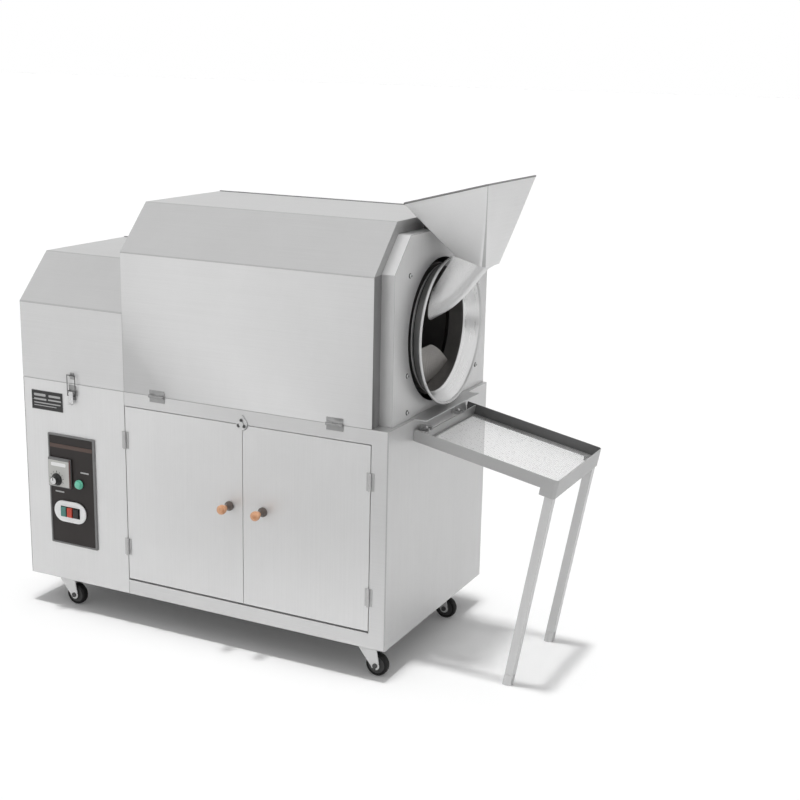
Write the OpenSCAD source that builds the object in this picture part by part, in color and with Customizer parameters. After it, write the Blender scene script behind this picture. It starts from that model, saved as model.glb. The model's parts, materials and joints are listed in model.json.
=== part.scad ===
// A roasting machine for nuts: a sheet metal cabinet on casters, a turning drum under a
// hinged hood, a chain drive under a hinged cover, a feed hopper and a sloping outfeed tray.
// Lengths in millimetres, +Z up. X runs along the machine, Y from the front to the back.

/* [Cabinet] */
// Length of the cabinet, without the tray
cab_len = 1114; // [1080:2:1180]
// Depth of the cabinet, front to back
depth = 600; // [570:5:660]
// Height of the cabinet box above the casters
cab_h = 565; // [520:5:640]
// Height of a caster, floor to cabinet
caster_h = 85; // [80:1:100]
// Length of the drive housing at the left end
drive_len = 338; // [330:2:370]
// Thickness of the sheet metal
sheet = 2; // [1.5:0.1:2.5]
// Side of the square frame tube
tube = 30; // [25:1:34]
// Width of the ledge in front of the end plate
ledge = 11; // [9:1:16]

/* [Doors] */
// Width of the stile right of the doors
stile = 46; // [44:1:54]
// Height of the rail over the doors
top_rail = 38; // [36:1:48]
// Height of the strip under the doors
kick = 41; // [38:1:50]
// Depth of a door with its folded edges
door_d = 20; // [16:1:21]
// Gap round each door
door_gap = 1.5; // [1:0.1:2.5]
// Height of a door knob over the floor
knob_z = 391; // [330:1:450]
// Distance of a door knob from the middle line between the doors
knob_in = 50; // [40:1:70]
// Reach of a door knob in front of the door
knob_reach = 46; // [38:1:56]
// Radius of the turn button over the doors
turn_r = 16; // [14:0.5:17]

/* [Hood] */
// Height of the hood over the cabinet
hood_h = 485; // [470:5:540]
// Height of the fold in the hood, over the cabinet
hood_fold = 366; // [350:2:380]
// Depth taken by the front slope of the hood
hood_front = 115; // [100:5:130]
// Depth taken by the rear slope of the hood
hood_rear = 140; // [130:5:160]
// Width of the end flange on the upright part
band_side = 38; // [32:1:44]
// Width of the end flange on both slopes
band_slope = 25; // [22:1:30]
// Width of the end flange along the top
band_top = 30; // [26:1:34]

/* [Drive cover] */
// Height of the drive cover over the cabinet
cover_h = 330; // [325:5:360]
// Height of the fold in the drive cover, over the cabinet
cover_fold = 208; // [190:2:230]
// Depth taken by the front slope of the cover
cover_front = 116; // [100:2:125]
// Depth taken by the rear slope of the cover
cover_rear = 140; // [130:5:160]

/* [Drum] */
// Height of the drum axis over the cabinet
drum_up = 199; // [197:1:205]
// Outer radius of the drum
drum_r = 205; // [190:1:208]
// Inner radius of the drum neck
neck_r = 160; // [150:1:163]
// Inner radius of the flared mouth at its rim
mouth_r = 184; // [178:1:186]
// Length of the flared mouth
mouth_len = 41; // [36:1:46]
// Wall thickness of the drum
drum_t = 3; // [2:0.5:4]
// Radius of the opening in the end plate
port_r = 183; // [180:1:185]
// Radius of the drum shaft
shaft_r = 20; // [15:1:24]
// Radius of a support roller
roller_r = 25; // [22:1:28]
// Height of a spiral flight
flight_h = 70; // [50:2:80]
// Number of spiral flights
flights = 2; // [1:1:3]

/* [Chain drive] */
// Pitch of the roller chain
pitch = 19.05; // [15.875, 19.05]
// Teeth on the drum sprocket
big_teeth = 32; // [28, 32]
// Teeth on the gearmotor sprocket
small_teeth = 16; // [12, 16]
// Links in each straight run of the chain
span_links = 24; // [20:2:24]
// Radius of a chain roller
chain_r = 5.95; // [4.8:0.05:6]

/* [Hopper] */
// Rim height on the machine side, over the cabinet
rim_low = 526; // [520:1:545]
// Rim height on the outer side, over the cabinet
rim_high = 582.5; // [560:0.5:610]
// Length of the rim along the machine
rim_len = 217; // [190:1:240]
// Width of the rim across the machine
rim_w = 313; // [280:1:340]
// Width of the spout
spout_w = 108; // [96:2:116]
// Thickness of the hopper sheet
hopper_t = 1.5; // [1:0.1:2]

/* [Tray] */
// Length of the outfeed tray
tray_len = 385.5; // [340:0.5:430]
// Width of the outfeed tray
tray_w = 329; // [300:1:360]
// Slope of the tray in degrees
tray_slope = 11.2; // [8:0.1:14]
// Lean of the tray legs in degrees
leg_lean = 9.7; // [7:0.1:13]
// Height of the tray rails
rail_h = 30; // [26:1:34]
// Height of the cross rail at the lower end of the tray
end_h = 48; // [40:1:54]
// Side of a tray leg
leg = 22; // [20:1:26]

/* [Casters] */
// Radius of a caster wheel
wheel_r = 30; // [25:0.5:31]
// Width of a caster wheel
wheel_w = 22; // [18:1:24]
// Distance of the wheel axle behind the swivel axis
trail = 22; // [18:1:26]

/* [Controls] */
// Width of the control panel
panel_w = 158; // [150:1:164]
// Height of the control panel
panel_h = 314; // [310:1:330]
// Travel of a push button
press = 4; // [3:0.5:5]

/* [Hidden] */
$fn = 64;
gap = 0.3;
run = 0.5;
deck_z = caster_h + cab_h;
mid_y = depth / 2;
axis_z = deck_z + drum_up;
hood_x0 = drive_len + gap;
hood_x1 = cab_len - stile + run;
plate_x = cab_len - ledge;
door_x1 = cab_len - stile;
door_mid = (drive_len + door_x1) / 2;
door_z0 = caster_h + kick;
door_z1 = deck_z - top_rail;
frame_y = door_d + 4;
turn_z = door_z1 + 2;
notch = turn_r + 5.5;
band_x0 = hood_x1 - sheet;

// Outlines run from the lower front corner over the top to the lower back corner
hood_line = [[0, deck_z], [0, deck_z + hood_fold], [hood_front, deck_z + hood_h],
    [depth - hood_rear, deck_z + hood_h], [depth, deck_z + hood_fold], [depth, deck_z]];
cover_line = [[0, deck_z], [0, deck_z + cover_fold], [cover_front, deck_z + cover_h],
    [depth - cover_rear, deck_z + cover_h], [depth, deck_z + cover_fold], [depth, deck_z]];

// The hood's bent sheet, the inner edge of its flange, and the end box inside that flange
hood_shell = [for (i = [0 : 4]) hood_line[i]];
band_in = inset(hood_shell, [band_side, band_slope, band_top, band_slope]);
box_line = inset(hood_line,
    [band_side + gap, band_slope + gap, band_top + gap, band_slope + gap, sheet]);

// Hinge barrels
barrel_r = 4;
pin_r = 2;
barrel_off = barrel_r + gap;
leaf_t = 1.5;
seam = 0.6;
hood_hinges = [444, 968];
cover_hinges = [80, 258];
door_hinge_z = [519, 221];
door_leaf = 10;
lid_leaf = 16;
hinge_l = 46;
gland_reach = 18;
gland_x = 60;
gland_z = 180;

// Chain and sprockets
big_r = pitch / (2 * sin(180 / big_teeth));
small_r = pitch / (2 * sin(180 / small_teeth));
big_hold = big_teeth / 2 + 2;
small_hold = small_teeth / 2;
chain_drop = sqrt(pow(span_links * pitch, 2)
    - pow(big_r * cos(180 / big_teeth) - small_r * cos(180 / small_teeth), 2));
motor_z = axis_z - chain_drop;
stand_z = motor_z - 103;
chain_in = 12.6;
plate_t = 2.4;
tooth_gap = 0.5;
sprocket_x = 268;
bearing_x = drive_len - sheet - gap;

// Drum, from its back wall to its mouth
drum_x0 = drive_len + 47;
cone_x0 = cab_len - 84;
cone_x1 = cab_len - 56;
neck_x1 = cab_len - 17;
mouth_x1 = neck_x1 + mouth_len;
ring_x0 = plate_x - sheet - 31.5;
ring_w = 17;
ring_r = neck_r + drum_t + 5;
roller_a = 35;
roller_y = (ring_r + gap + roller_r) * sin(roller_a);
roller_z = axis_z - (ring_r + gap + roller_r) * cos(roller_a);

// Flights: one turn along the drum, then a last stretch that winds on into the neck
flight_t = 3;
flight_x0 = drum_x0 + drum_t + 6;
flight_x1 = cone_x0 - 8;
flight_x2 = cab_len - 41;
flight_end = 73;
flight_start = -115;
flight_steps = 36;
neck_steps = 24;
eye_r = 60;

// Heater pan under the drum
pan_x0 = drive_len + tube + 15;
pan_x1 = cone_x1 - 23;
heater_y = [mid_y - 130, mid_y, mid_y + 130];
heater_z = deck_z - 50;

// Hopper and spout, in X and in Z over the cabinet
rim_x0 = hood_x1 + run;
out_x0 = cab_len + 40;
out_x1 = cab_len + 129;
out_z0 = 397;
out_z1 = 372;
bends = 6;
spout_rim = [[out_x0 + 1, out_z0 - 0.9], [cab_len + 36, 380], [cab_len + 23, 359],
    [cab_len + 6, 331], [cab_len - 11, 304]];
spout_low = [[out_x1 - 0.5, out_z1 - 0.8], [cab_len + 107, 354], [cab_len + 63, 298],
    [cab_len + 21, 256], [cab_len - 35, 219]];
spout_steps = 12;
spout_n = 2 * (spout_steps + 1);

// Tray
tray_x = cab_len + 4;
tray_z = deck_z - 24;
tray_y0 = mid_y - tray_w / 2;
tray_back = 22;
tray_round = 10;
mesh_nx = 14;
mesh_ny = 12;
leg_in = 5.5;
pivot_x = cab_len + 12;
pivot_z = tray_z - 5;
hook_y = [176, 372];
leg_x = tray_x + (tray_len - leg - leg_in) * cos(tray_slope);
leg_z = tray_z - (tray_len - leg - leg_in) * sin(tray_slope);
tray_end = tray_x + tray_len * cos(tray_slope);

// Casters: swivel axis places
caster_x = [104, cab_len - 60];
caster_y = [40, depth - 143];
casters = [for (y = caster_y, x = caster_x) [x, y]];

// Controls, as X and Z of their centres
panel_x0 = 79;
panel_z0 = 190;
ctrl = [119, 396];
dial = [110, 376];
lamp = [182, 371];
plate_c = [149, 287];
latch_x = 169;
latch_y = -6;
latch_z = deck_z - 22;
bail_z = latch_z - 10;
bail_h = 57;
button_w = 17;
button_h = 30;
buttons = [plate_c[0] - 19, plate_c[0] + 2, plate_c[0] + 23];

// End plate bolts, as Y and Z over the cabinet
bolt_places = [[119, 358], [115, 113], [depth - 62, 300], [depth - 62, 60], [119, 20], [mid_y, 440]];

// The origin is under the middle of the whole machine
x_mid = max(tray_end, rim_x0 + rim_len) / 2;
y_mid = (depth + gland_reach - knob_reach) / 2;

// Moves the machine so that its middle stands over the origin
module set_down() translate([-x_mid, -y_mid, 0]) children();

// A block from its low corner to its high corner
module block(a, b) translate(a) cube(b - a);

// A YZ outline drawn out along X
module along_x(x0, x1) translate([x0, 0, 0]) rotate([90, 0, 90]) linear_extrude(x1 - x0) children();

// An XZ outline drawn out along Y
module along_y(y0, y1) translate([0, y1, 0]) rotate([90, 0, 0]) linear_extrude(y1 - y0) children();

// A round bar along X or Y
module bar_x(x0, x1, y, z, r) translate([x0, y, z]) rotate([0, 90, 0]) cylinder(r = r, h = x1 - x0);
module bar_y(y0, y1, x, z, r) translate([x, y1, z]) rotate([90, 0, 0]) cylinder(r = r, h = y1 - y0);

// Inward normal of an edge, and the corner of two edges that move in by s and t
function inward(a, b) = [b[1] - a[1], a[0] - b[0]] / norm(b - a);
function corner(p, m, s, n, t) = let (d = m[0] * n[1] - m[1] * n[0])
    p + [s * n[1] - t * m[1], m[0] * t - n[0] * s] / d;

// A line moved in, with one distance for each of its edges
function inset(p, t) = [for (i = [0 : len(p) - 1])
    i == 0 ? p[0] + t[0] * inward(p[0], p[1])
    : i == len(p) - 1 ? p[i] + t[i - 1] * inward(p[i - 1], p[i])
    : corner(p[i], inward(p[i - 1], p[i]), t[i - 1], inward(p[i], p[i + 1]), t[i])];
function even(p, t) = inset(p, [for (i = [1 : len(p) - 1]) t]);
function turned(p) = [for (i = [len(p) - 1 : -1 : 0]) p[i]];

// The strip between two lines
module strip(p, q) polygon(concat(p, turned(q)));

// A flat hinge leaf with its barrel along Z, at the plane Y = 0 and facing -Y
module leaf_side(w, l, ends) {
    n = ends ? [0, 2] : [1];
    translate([barrel_r + seam, -gap - leaf_t, 0]) cube([w - barrel_r - seam, leaf_t, l]);
    for (i = n) translate([0, 0, i * (l + gap) / 3]) {
        translate([0, -gap - leaf_t, 0]) cube([barrel_r + 2 * seam, leaf_t, (l - 2 * gap) / 3]);
        translate([0, -barrel_off - 0.1, 0]) cylinder(r = barrel_r, h = (l - 2 * gap) / 3);
    }
}

module hinge_moving(w, l) difference() {
    leaf_side(w, l, false);
    translate([0, -barrel_off - 0.1, -1]) cylinder(r = pin_r + 0.06, h = l + 2);
}

module hinge_fixed(w, l) {
    mirror([1, 0, 0]) leaf_side(w, l, true);
    translate([0, -barrel_off - 0.1, 0]) cylinder(r = pin_r, h = l);
}

// Places of the hinges: doors, hood and drive cover
module at_left_hinges() for (z = door_hinge_z)
    translate([drive_len + door_gap / 2, 0, z - hinge_l / 2]) children();
module at_right_hinges() for (z = door_hinge_z)
    translate([door_x1 - door_gap / 2, 0, z - hinge_l / 2]) mirror([1, 0, 0]) children();
module at_hood_hinges() for (x = hood_hinges)
    translate([x - hinge_l / 2, 0, deck_z + seam / 2]) mirror([1, 0, -1]) children();
module at_cover_hinges() for (x = cover_hinges)
    translate([x - hinge_l / 2, depth, deck_z + seam / 2]) mirror([0, 1, 0]) mirror([1, 0, -1]) children();

module frame() color("slategray") {
    lo = caster_h;
    hi = deck_z - sheet;
    xs = [[sheet, sheet + tube], [drive_len, drive_len + tube], [cab_len - sheet - tube, cab_len - sheet]];
    ys = [[frame_y, frame_y + tube], [depth - sheet - tube, depth - sheet]];
    for (z = [lo, hi - tube]) {
        for (y = ys) block([sheet, y[0], z], [cab_len - sheet, y[1], z + tube]);
        for (x = xs) block([x[0], frame_y, z], [x[1], depth - sheet, z + tube]);
    }
    for (x = xs, y = ys) block([x[0], y[0], lo], [x[1], y[1], hi]);
    block([sheet + tube, caster_y[1] - tube / 2, lo],
        [cab_len - sheet - tube, caster_y[1] + tube / 2, lo + tube]);
    caster_plates();
    motor_stand();
}

module caster_plates() for (c = casters)
    block([c[0] - 38, c[1] - 30, caster_h - 3], [c[0] + 38, c[1] + 30, caster_h]);

module motor_stand() {
    block([100, mid_y - 70, stand_z - 5], [235, mid_y + 170, stand_z]);
    for (x = [100, 230])
        block([x, mid_y - 70, caster_h + tube], [x + 5, mid_y + 170, stand_z - 5]);
    block([sheet + tube, mid_y - 70, caster_h], [drive_len, mid_y - 70 + tube, caster_h + tube]);
}

module floor_plate() color("lightgray") difference() {
    block([sheet + 1, frame_y, caster_h + tube],
        [cab_len - sheet - 1, depth - sheet - 1, caster_h + tube + sheet]);
    for (x = [sheet, drive_len, cab_len - sheet - tube], y = [frame_y, depth - sheet - tube])
        block([x - 1, y - 1, caster_h], [x + tube + 1, y + tube + 1, caster_h + 2 * tube]);
    for (x = [100, 230])
        block([x - 1, mid_y - 71, caster_h], [x + 6, mid_y + 171, caster_h + 2 * tube]);
}

module left_side_panel() color("gainsboro") block([0, 0, caster_h], [sheet, depth, deck_z]);

module right_side_panel() color("silver")
    block([cab_len - sheet, 0, caster_h], [cab_len, depth, deck_z]);

// The back of the cabinet, with the fixed wall behind the drum and the cooling slots
module back_panel() color("gainsboro") difference() {
    union() {
        block([sheet, depth - sheet, caster_h], [cab_len - sheet, depth, deck_z]);
        block([hood_x0, depth - sheet, deck_z], [plate_x, depth, deck_z + hood_fold - sheet - seam]);
    }
    for (i = [0 : 9])
        block([110, depth - 2 * sheet, 250 + i * 20], [250, depth + 1, 258 + i * 20]);
    bar_y(depth - 2 * sheet, depth + 1, gland_x, gland_z, 10);
}

module control_side_panel() color("gainsboro") difference() {
    union() {
        block([sheet, 0, caster_h], [drive_len - gap, sheet, deck_z]);
        block([drive_len - gap - sheet, sheet, caster_h], [drive_len - gap, frame_y, deck_z]);
        block([sheet, sheet, caster_h], [2 * sheet, frame_y, deck_z]);
    }
    block([panel_x0 + 6, -1, panel_z0 + 6], [panel_x0 + panel_w - 6, sheet + 1, panel_z0 + panel_h - 6]);
}

// Rail, stile and kick strip round the doors, with the round lobe that carries the turn button
module door_surround() color("gainsboro") difference() {
    union() {
        along_y(0, sheet) difference() {
            union() {
                polygon([[drive_len, caster_h], [cab_len - sheet, caster_h],
                    [cab_len - sheet, deck_z], [drive_len, deck_z], [drive_len, door_z1],
                    [door_x1, door_z1], [door_x1, door_z0], [drive_len, door_z0]]);
                translate([door_mid, turn_z]) circle(r = turn_r);
            }
            translate([door_mid, turn_z]) circle(r = 4);
        }
        block([drive_len, sheet, door_z1], [cab_len - sheet, frame_y, door_z1 + sheet]);
        block([drive_len, sheet, door_z0 - sheet], [cab_len - sheet, frame_y, door_z0]);
        block([door_x1, sheet, door_z0], [door_x1 + sheet, frame_y, door_z1]);
    }
    translate([door_mid - turn_r, sheet, door_z1 - 1]) cube([2 * turn_r, 8, sheet + 2]);
}

// A round plate with three thumb lobes and a nose; the nose holds both doors when turned down
module turn_button() color("silver") {
    translate([door_mid, 0, turn_z]) rotate([90, 0, 0]) {
        translate([0, 0, gap]) cylinder(r = turn_r, h = 3);
        translate([0, turn_r, gap]) cylinder(r = 6.5, h = 3);
        for (a = [90 : 120 : 330]) rotate(a) translate([9.5, 0, gap]) cylinder(r = 5, h = 5);
        translate([0, 0, gap]) cylinder(r = 6.5, h = 6);
        translate([0, 0, -sheet - 4]) cylinder(r = 3.95, h = sheet + 4 + gap);
        translate([0, 0, -sheet - 6]) cylinder(r = 7, h = 2.5);
    }
}

module deck_plate() color("lightgray") difference() {
    block([drive_len, sheet, deck_z - sheet], [cab_len - sheet, depth - sheet, deck_z]);
    block([pan_x0 + sheet, 110, deck_z - 2 * sheet], [cone_x1 - 20, depth - 110, deck_z + 1]);
}

// The wall between drive and drum. Over the deck its left leaf ends in the arc that the edge of
// the cover sweeps, and its right leaf is the fixed end of the hood
module partition_wall() color("lightgray") difference() {
    union() {
        along_x(bearing_x, drive_len - gap) {
            translate([frame_y, caster_h + tube + sheet])
                square([depth - sheet - frame_y - gap, cab_h - tube - sheet + 1]);
            intersection() {
                polygon(even(cover_line, sheet + run));
                translate([depth + barrel_off, deck_z]) circle(r = depth - 2 * run);
            }
        }
        along_x(hood_x0, hood_x0 + sheet) polygon(even(hood_line, sheet + run));
    }
    bar_x(bearing_x - 1, hood_x0 + sheet + 1, mid_y, axis_z, shaft_r + 8);
    for (y = [frame_y, depth - sheet - tube])
        block([bearing_x - 1, y - gap, deck_z - sheet - tube - gap],
            [drive_len, y + tube + gap, deck_z - sheet + gap]);
}

// The fixed box that closes the hood's open end, with the round port for the drum
module end_box() color("silver") {
    difference() {
        union() {
            along_x(band_x0 - 26, plate_x) strip(box_line, even(box_line, sheet));
            along_x(plate_x - sheet, plate_x) polygon(even(box_line, sheet / 2));
        }
        bar_x(plate_x - 2 * sheet, plate_x + 1, mid_y, axis_z, port_r);
    }
    block([band_x0 - 26, box_line[0][0], deck_z], [band_x0 - 24, box_line[0][0] + 60, deck_z + 300]);
}

module heater_pan() color("dimgray") difference() {
    union() {
        block([pan_x0, 95, deck_z - 78], [pan_x1, depth - 95, deck_z - sheet]);
        block([pan_x0 - 12, 80, deck_z - 2 * sheet], [pan_x1 + 11, depth - 80, deck_z - sheet]);
    }
    block([pan_x0 + sheet, 97, deck_z - 76], [pan_x1 - sheet, depth - 97, deck_z]);
    for (y = heater_y, s = [-20, 20]) bar_x(pan_x0 - 2, pan_x0 + 3, y + s, heater_z, 6);
}

module heating_elements() color("firebrick") for (y = heater_y) {
    for (s = [-20, 20]) bar_x(pan_x0 - 26, cone_x1 - 60, y + s, heater_z, 5.7);
    translate([cone_x1 - 60, y, heater_z]) rotate([0, 0, -90])
        rotate_extrude(angle = 180) translate([20, 0]) circle(r = 5.7);
}

// Square flange bearing on the drive side of the partition
module shaft_bearing() color("steelblue") difference() {
    union() {
        along_x(bearing_x - 15, bearing_x) translate([mid_y, axis_z]) difference() {
            square(120, center = true);
            for (a = [45 : 90 : 315]) translate([65 * cos(a), 65 * sin(a)]) circle(r = 6);
        }
        bar_x(bearing_x - 38, bearing_x - 14, mid_y, axis_z, 42);
    }
    bar_x(bearing_x - 40, bearing_x + 1, mid_y, axis_z, shaft_r + 0.05);
}

// Worm gearbox with its motor lying towards the back
module gearmotor() color("royalblue") difference() {
    union() {
        block([118, mid_y - 52, stand_z], [218, mid_y + 52, motor_z + 55]);
        bar_x(112, 224, mid_y, motor_z, 46);
        bar_y(mid_y + 50, mid_y + 68, 168, motor_z - 42, 58);
        bar_y(mid_y + 66, mid_y + 250, 168, motor_z - 42, 53);
        for (i = [0 : 8]) bar_y(mid_y + 82 + i * 17, mid_y + 87 + i * 17, 168, motor_z - 42, 58);
        block([136, mid_y + 100, motor_z + 2], [200, mid_y + 170, motor_z + 38]);
    }
    bar_x(100, 230, mid_y, motor_z, 14.05);
}

// A point on a sprocket's pitch circle, in Y and Z from the drum axis
function seat(drop, r, a) = [r * cos(a), r * sin(a) - drop];
function between(p, q, t) = p + (q - p) * t;
function wrap(drop, r, teeth, hold, mid) = [for (i = [0 : hold - 1])
    seat(drop, r, mid + ((hold - 1) / 2 - i) * 360 / teeth)];
over = wrap(0, big_r, big_teeth, big_hold, 90);
under = wrap(chain_drop, small_r, small_teeth, small_hold, -90);
span = [for (i = [1 : span_links - 1]) i / span_links];
chain_points = concat(over, [for (t = span) between(over[big_hold - 1], under[0], t)],
    under, [for (t = span) between(under[small_hold - 1], over[0], t)]);

// One link from pin to pin, with two side plates and two cross tubes
module link(a, b, half, r, bore) {
    d = b - a;
    translate([0, a[0], a[1]]) rotate([atan2(d[1], d[0]), 0, 0]) difference() {
        union() {
            for (s = [-1, 1]) translate([s * half - plate_t / 2, 0, 0])
                rotate([90, 0, 90]) linear_extrude(plate_t) {
                    for (y = [0, pitch]) translate([y, 0]) circle(r = 8.2);
                    translate([0, -5.5]) square([pitch, 11]);
                }
            for (y = [0, pitch]) bar_x(-half, half, y, 0, r);
        }
        if (bore > 0) for (y = [0, pitch]) bar_x(-half - plate_t, half + plate_t, y, 0, bore);
    }
}

module drive_chain() color("dimgray") translate([sprocket_x, mid_y, axis_z]) {
    n = len(chain_points);
    for (i = [0 : n - 1]) {
        outer = i % 2;
        half = (chain_in + plate_t) / 2 + outer * (plate_t + gap);
        link(chain_points[i], chain_points[(i + 1) % n], half, outer ? 2.9 : chain_r, outer ? 0 : 3);
    }
}

// A toothed disc whose gaps seat the chain rollers
module sprocket(teeth, r, phase, w) translate([-w / 2, 0, 0]) rotate([90, 0, 90])
    linear_extrude(w) difference() {
        circle(r = r + 0.26 * pitch);
        for (i = [0 : teeth - 1]) rotate(phase + i * 360 / teeth) {
            translate([r, 0]) circle(r = chain_r + tooth_gap);
            polygon([[r, 0.2 - chain_r - tooth_gap], [r + 0.45 * pitch, 0.4 - pitch / 2],
                [r + 0.45 * pitch, pitch / 2 - 0.4], [r, chain_r + tooth_gap - 0.2]]);
        }
    }

module drum_sprocket() color("gray") translate([sprocket_x, mid_y, axis_z]) difference() {
    union() {
        sprocket(big_teeth, big_r, 180 / big_teeth, chain_in - 1.2);
        bar_x(-10, 25, 0, 0, 34);
    }
    bar_x(-20, 30, 0, 0, shaft_r);
    for (a = [30 : 60 : 330]) translate([0, 62 * cos(a), 62 * sin(a)]) bar_x(-20, 20, 0, 0, 15);
}

module motor_sprocket() color("gray") {
    translate([sprocket_x, mid_y, motor_z]) {
        sprocket(small_teeth, small_r, 180 / small_teeth, chain_in - 1.2);
        bar_x(-24, 10, 0, 0, 28);
    }
    bar_x(110, sprocket_x, mid_y, motor_z, 14);
}

module drum_shaft() color("silver") {
    bar_x(sprocket_x - 14, drum_x0 + 30, mid_y, axis_z, shaft_r);
    difference() {
        bar_x(drum_x0 - 12, drum_x0, mid_y, axis_z, 60);
        for (a = [0 : 60 : 300])
            bar_x(drum_x0 - 14, drum_x0 + 1, mid_y + 45 * cos(a), axis_z + 45 * sin(a), 5);
    }
}

// A YZ ring shape turned about the drum axis
module about_drum() translate([0, mid_y, axis_z]) rotate([0, 90, 0]) rotate_extrude($fn = 96) children();

module drum_shell() color("dimgray") about_drum() polygon([
    [shaft_r + 0.05, drum_x0], [drum_r, drum_x0], [drum_r, cone_x0], [neck_r + drum_t, cone_x1],
    [neck_r + drum_t, ring_x0], [ring_r, ring_x0], [ring_r, ring_x0 + ring_w],
    [neck_r + drum_t, ring_x0 + ring_w], [neck_r + drum_t, neck_x1], [neck_r, neck_x1],
    [neck_r, cone_x1 - 1], [drum_r - drum_t, cone_x0 - 1], [drum_r - drum_t, drum_x0 + drum_t],
    [shaft_r + 0.05, drum_x0 + drum_t]]);

module mouth_ring() color("whitesmoke") about_drum() {
    polygon([[neck_r, neck_x1], [neck_r + drum_t, neck_x1],
        [mouth_r + drum_t, mouth_x1], [mouth_r, mouth_x1]]);
    translate([mouth_r + 2, mouth_x1 - 1.5]) circle(r = 3.5);
}

// Spiral flights: each is a helical strip that stands on the inside of the drum. In the neck it
// reaches far in, follows the cone with its outer edge and ends in a rounded nose
function drum_wall(x) = x < cone_x0 - 1 ? drum_r - drum_t : x > cone_x1 - 1 ? neck_r
    : drum_r - drum_t - (drum_r - drum_t - neck_r) * (x - cone_x0 + 1) / (cone_x1 - cone_x0);
function flight_eye(t) = let (full = drum_r - drum_t - flight_h, u = min(3 * t, 1), v = max(4 * t - 3, 0))
    v > 0 ? eye_r + (neck_r - 10 - eye_r) * (1 - sqrt(1 - v * v))
    : full + (eye_r - full) * (1 - cos(180 * u)) / 2;
function flight_ring(a, x, eye) = [
    for (q = [[0, -1], [0, 1], [1, 1], [1, -1]]) let (e = x + q[1] * flight_t / 2,
        r = q[0] > 0 ? eye : drum_wall(e + 3) - gap)
        [e, r * cos(a), r * sin(a)]];
function flight_at(i, a0) = i < flight_steps
    ? let (t = i / flight_steps)
        flight_ring(a0 + 360 * t, between(flight_x0, flight_x1, t), flight_eye(0))
    : let (t = (i - flight_steps) / neck_steps)
        flight_ring(a0 + flight_end * t, between(flight_x1, flight_x2, t), flight_eye(t));
module flight(a0) {
    n = flight_steps + neck_steps;
    points = [for (i = [0 : n], p = flight_at(i, a0)) p];
    sides = [for (i = [0 : n - 1], k = [0 : 3]) let (a = 4 * i + k, b = 4 * i + (k + 1) % 4)
        each [[a, b, b + 4], [a, b + 4, a + 4]]];
    polyhedron(points, concat([[3, 2, 1, 0]], sides, [[4 * n, 4 * n + 1, 4 * n + 2, 4 * n + 3]]));
}
module drum_flights() color("gray") translate([0, mid_y, axis_z])
    for (i = [0 : flights - 1]) flight(i * 360 / flights + flight_start);

// Two rollers carry the ring on the drum neck
module roller(y) difference() {
    bar_x(ring_x0 - 0.5, ring_x0 + ring_w + 0.5, y, roller_z, roller_r);
    bar_x(ring_x0 - 2, ring_x0 + ring_w + 2, y, roller_z, 6.05);
}
module front_roller() color("dimgray") roller(mid_y - roller_y);
module rear_roller() color("dimgray") roller(mid_y + roller_y);

module roller_brackets() color("gray") for (s = [-1, 1]) {
    y = mid_y + s * roller_y;
    block([ring_x0 - 7, y - 25, deck_z], [ring_x0 + ring_w + 6, y + 25, deck_z + 4]);
    for (x = [ring_x0 - 5, ring_x0 + ring_w + 1]) difference() {
        along_x(x, x + 4) {
            translate([y - 18, deck_z]) square([36, roller_z - deck_z]);
            translate([y, roller_z]) circle(r = 14);
        }
        bar_x(x - 1, x + 5, y, roller_z, 3);
    }
    bar_x(ring_x0 - 8, ring_x0 + ring_w + 7, y, roller_z, 6);
}

// Four-sided funnel with a sloping rim. Between its corners each wall is an evenly bent sheet
function funnel(t) = [for (p = [
    [rim_x0 + t, -rim_w / 2 + t, rim_low], [rim_x0 + rim_len - t, -rim_w / 2 + t, rim_high],
    [rim_x0 + rim_len - t, rim_w / 2 - t, rim_high], [rim_x0 + t, rim_w / 2 - t, rim_low],
    [out_x0 + t, -spout_w / 2 + t, out_z0], [out_x1 - t, -spout_w / 2 + t, out_z1],
    [out_x1 - t, spout_w / 2 - t, out_z1], [out_x0 + t, spout_w / 2 - t, out_z0]])
    [p[0], mid_y + p[1], deck_z + p[2]]];
function funnel_skin(t) = let (c = funnel(t)) [
    for (l = [0 : bends], i = [0 : 3], k = [0 : bends - 1]) let (j = (i + 1) % 4)
        between(between(c[i], c[j], k / bends), between(c[i + 4], c[j + 4], k / bends), l / bends)];
module hopper() color("lightgray") {
    n = 4 * bends;
    m = (bends + 1) * n;
    e = bends * n;
    points = concat(funnel_skin(0), funnel_skin(1.4 * hopper_t));
    walls = [for (l = [0 : bends - 1], c = [0 : n - 1]) let (a = l * n + c, b = l * n + (c + 1) % n)
        each [[a, b, b + n, a + n], [m + a, m + a + n, m + b + n, m + b]]];
    edges = [for (c = [0 : n - 1]) let (d = (c + 1) % n)
        each [[c, m + c, m + d, d], [e + c, e + d, m + e + d, m + e + c]]];
    quads = concat(walls, edges);
    polyhedron(points, [for (q = quads) each [[q[0], q[1], q[2]], [q[0], q[2], q[3]]]]);
    wall = (out_z0 - rim_low) / (out_x0 - rim_x0);
    foot = rim_low + wall * (plate_x - 3 - rim_x0) - gap * 2;
    head = rim_low + wall * (plate_x - 20 - rim_x0) - gap * 2;
    for (y = [mid_y - 45, mid_y + 42]) along_y(y, y + 3) polygon([
        [rim_x0 + 4, deck_z + hood_h - band_top], [plate_x - 3, deck_z + hood_h - band_top],
        [plate_x - 3, deck_z + foot], [plate_x - 20, deck_z + head], [rim_x0 + 4, deck_z + head]]);
}

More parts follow.
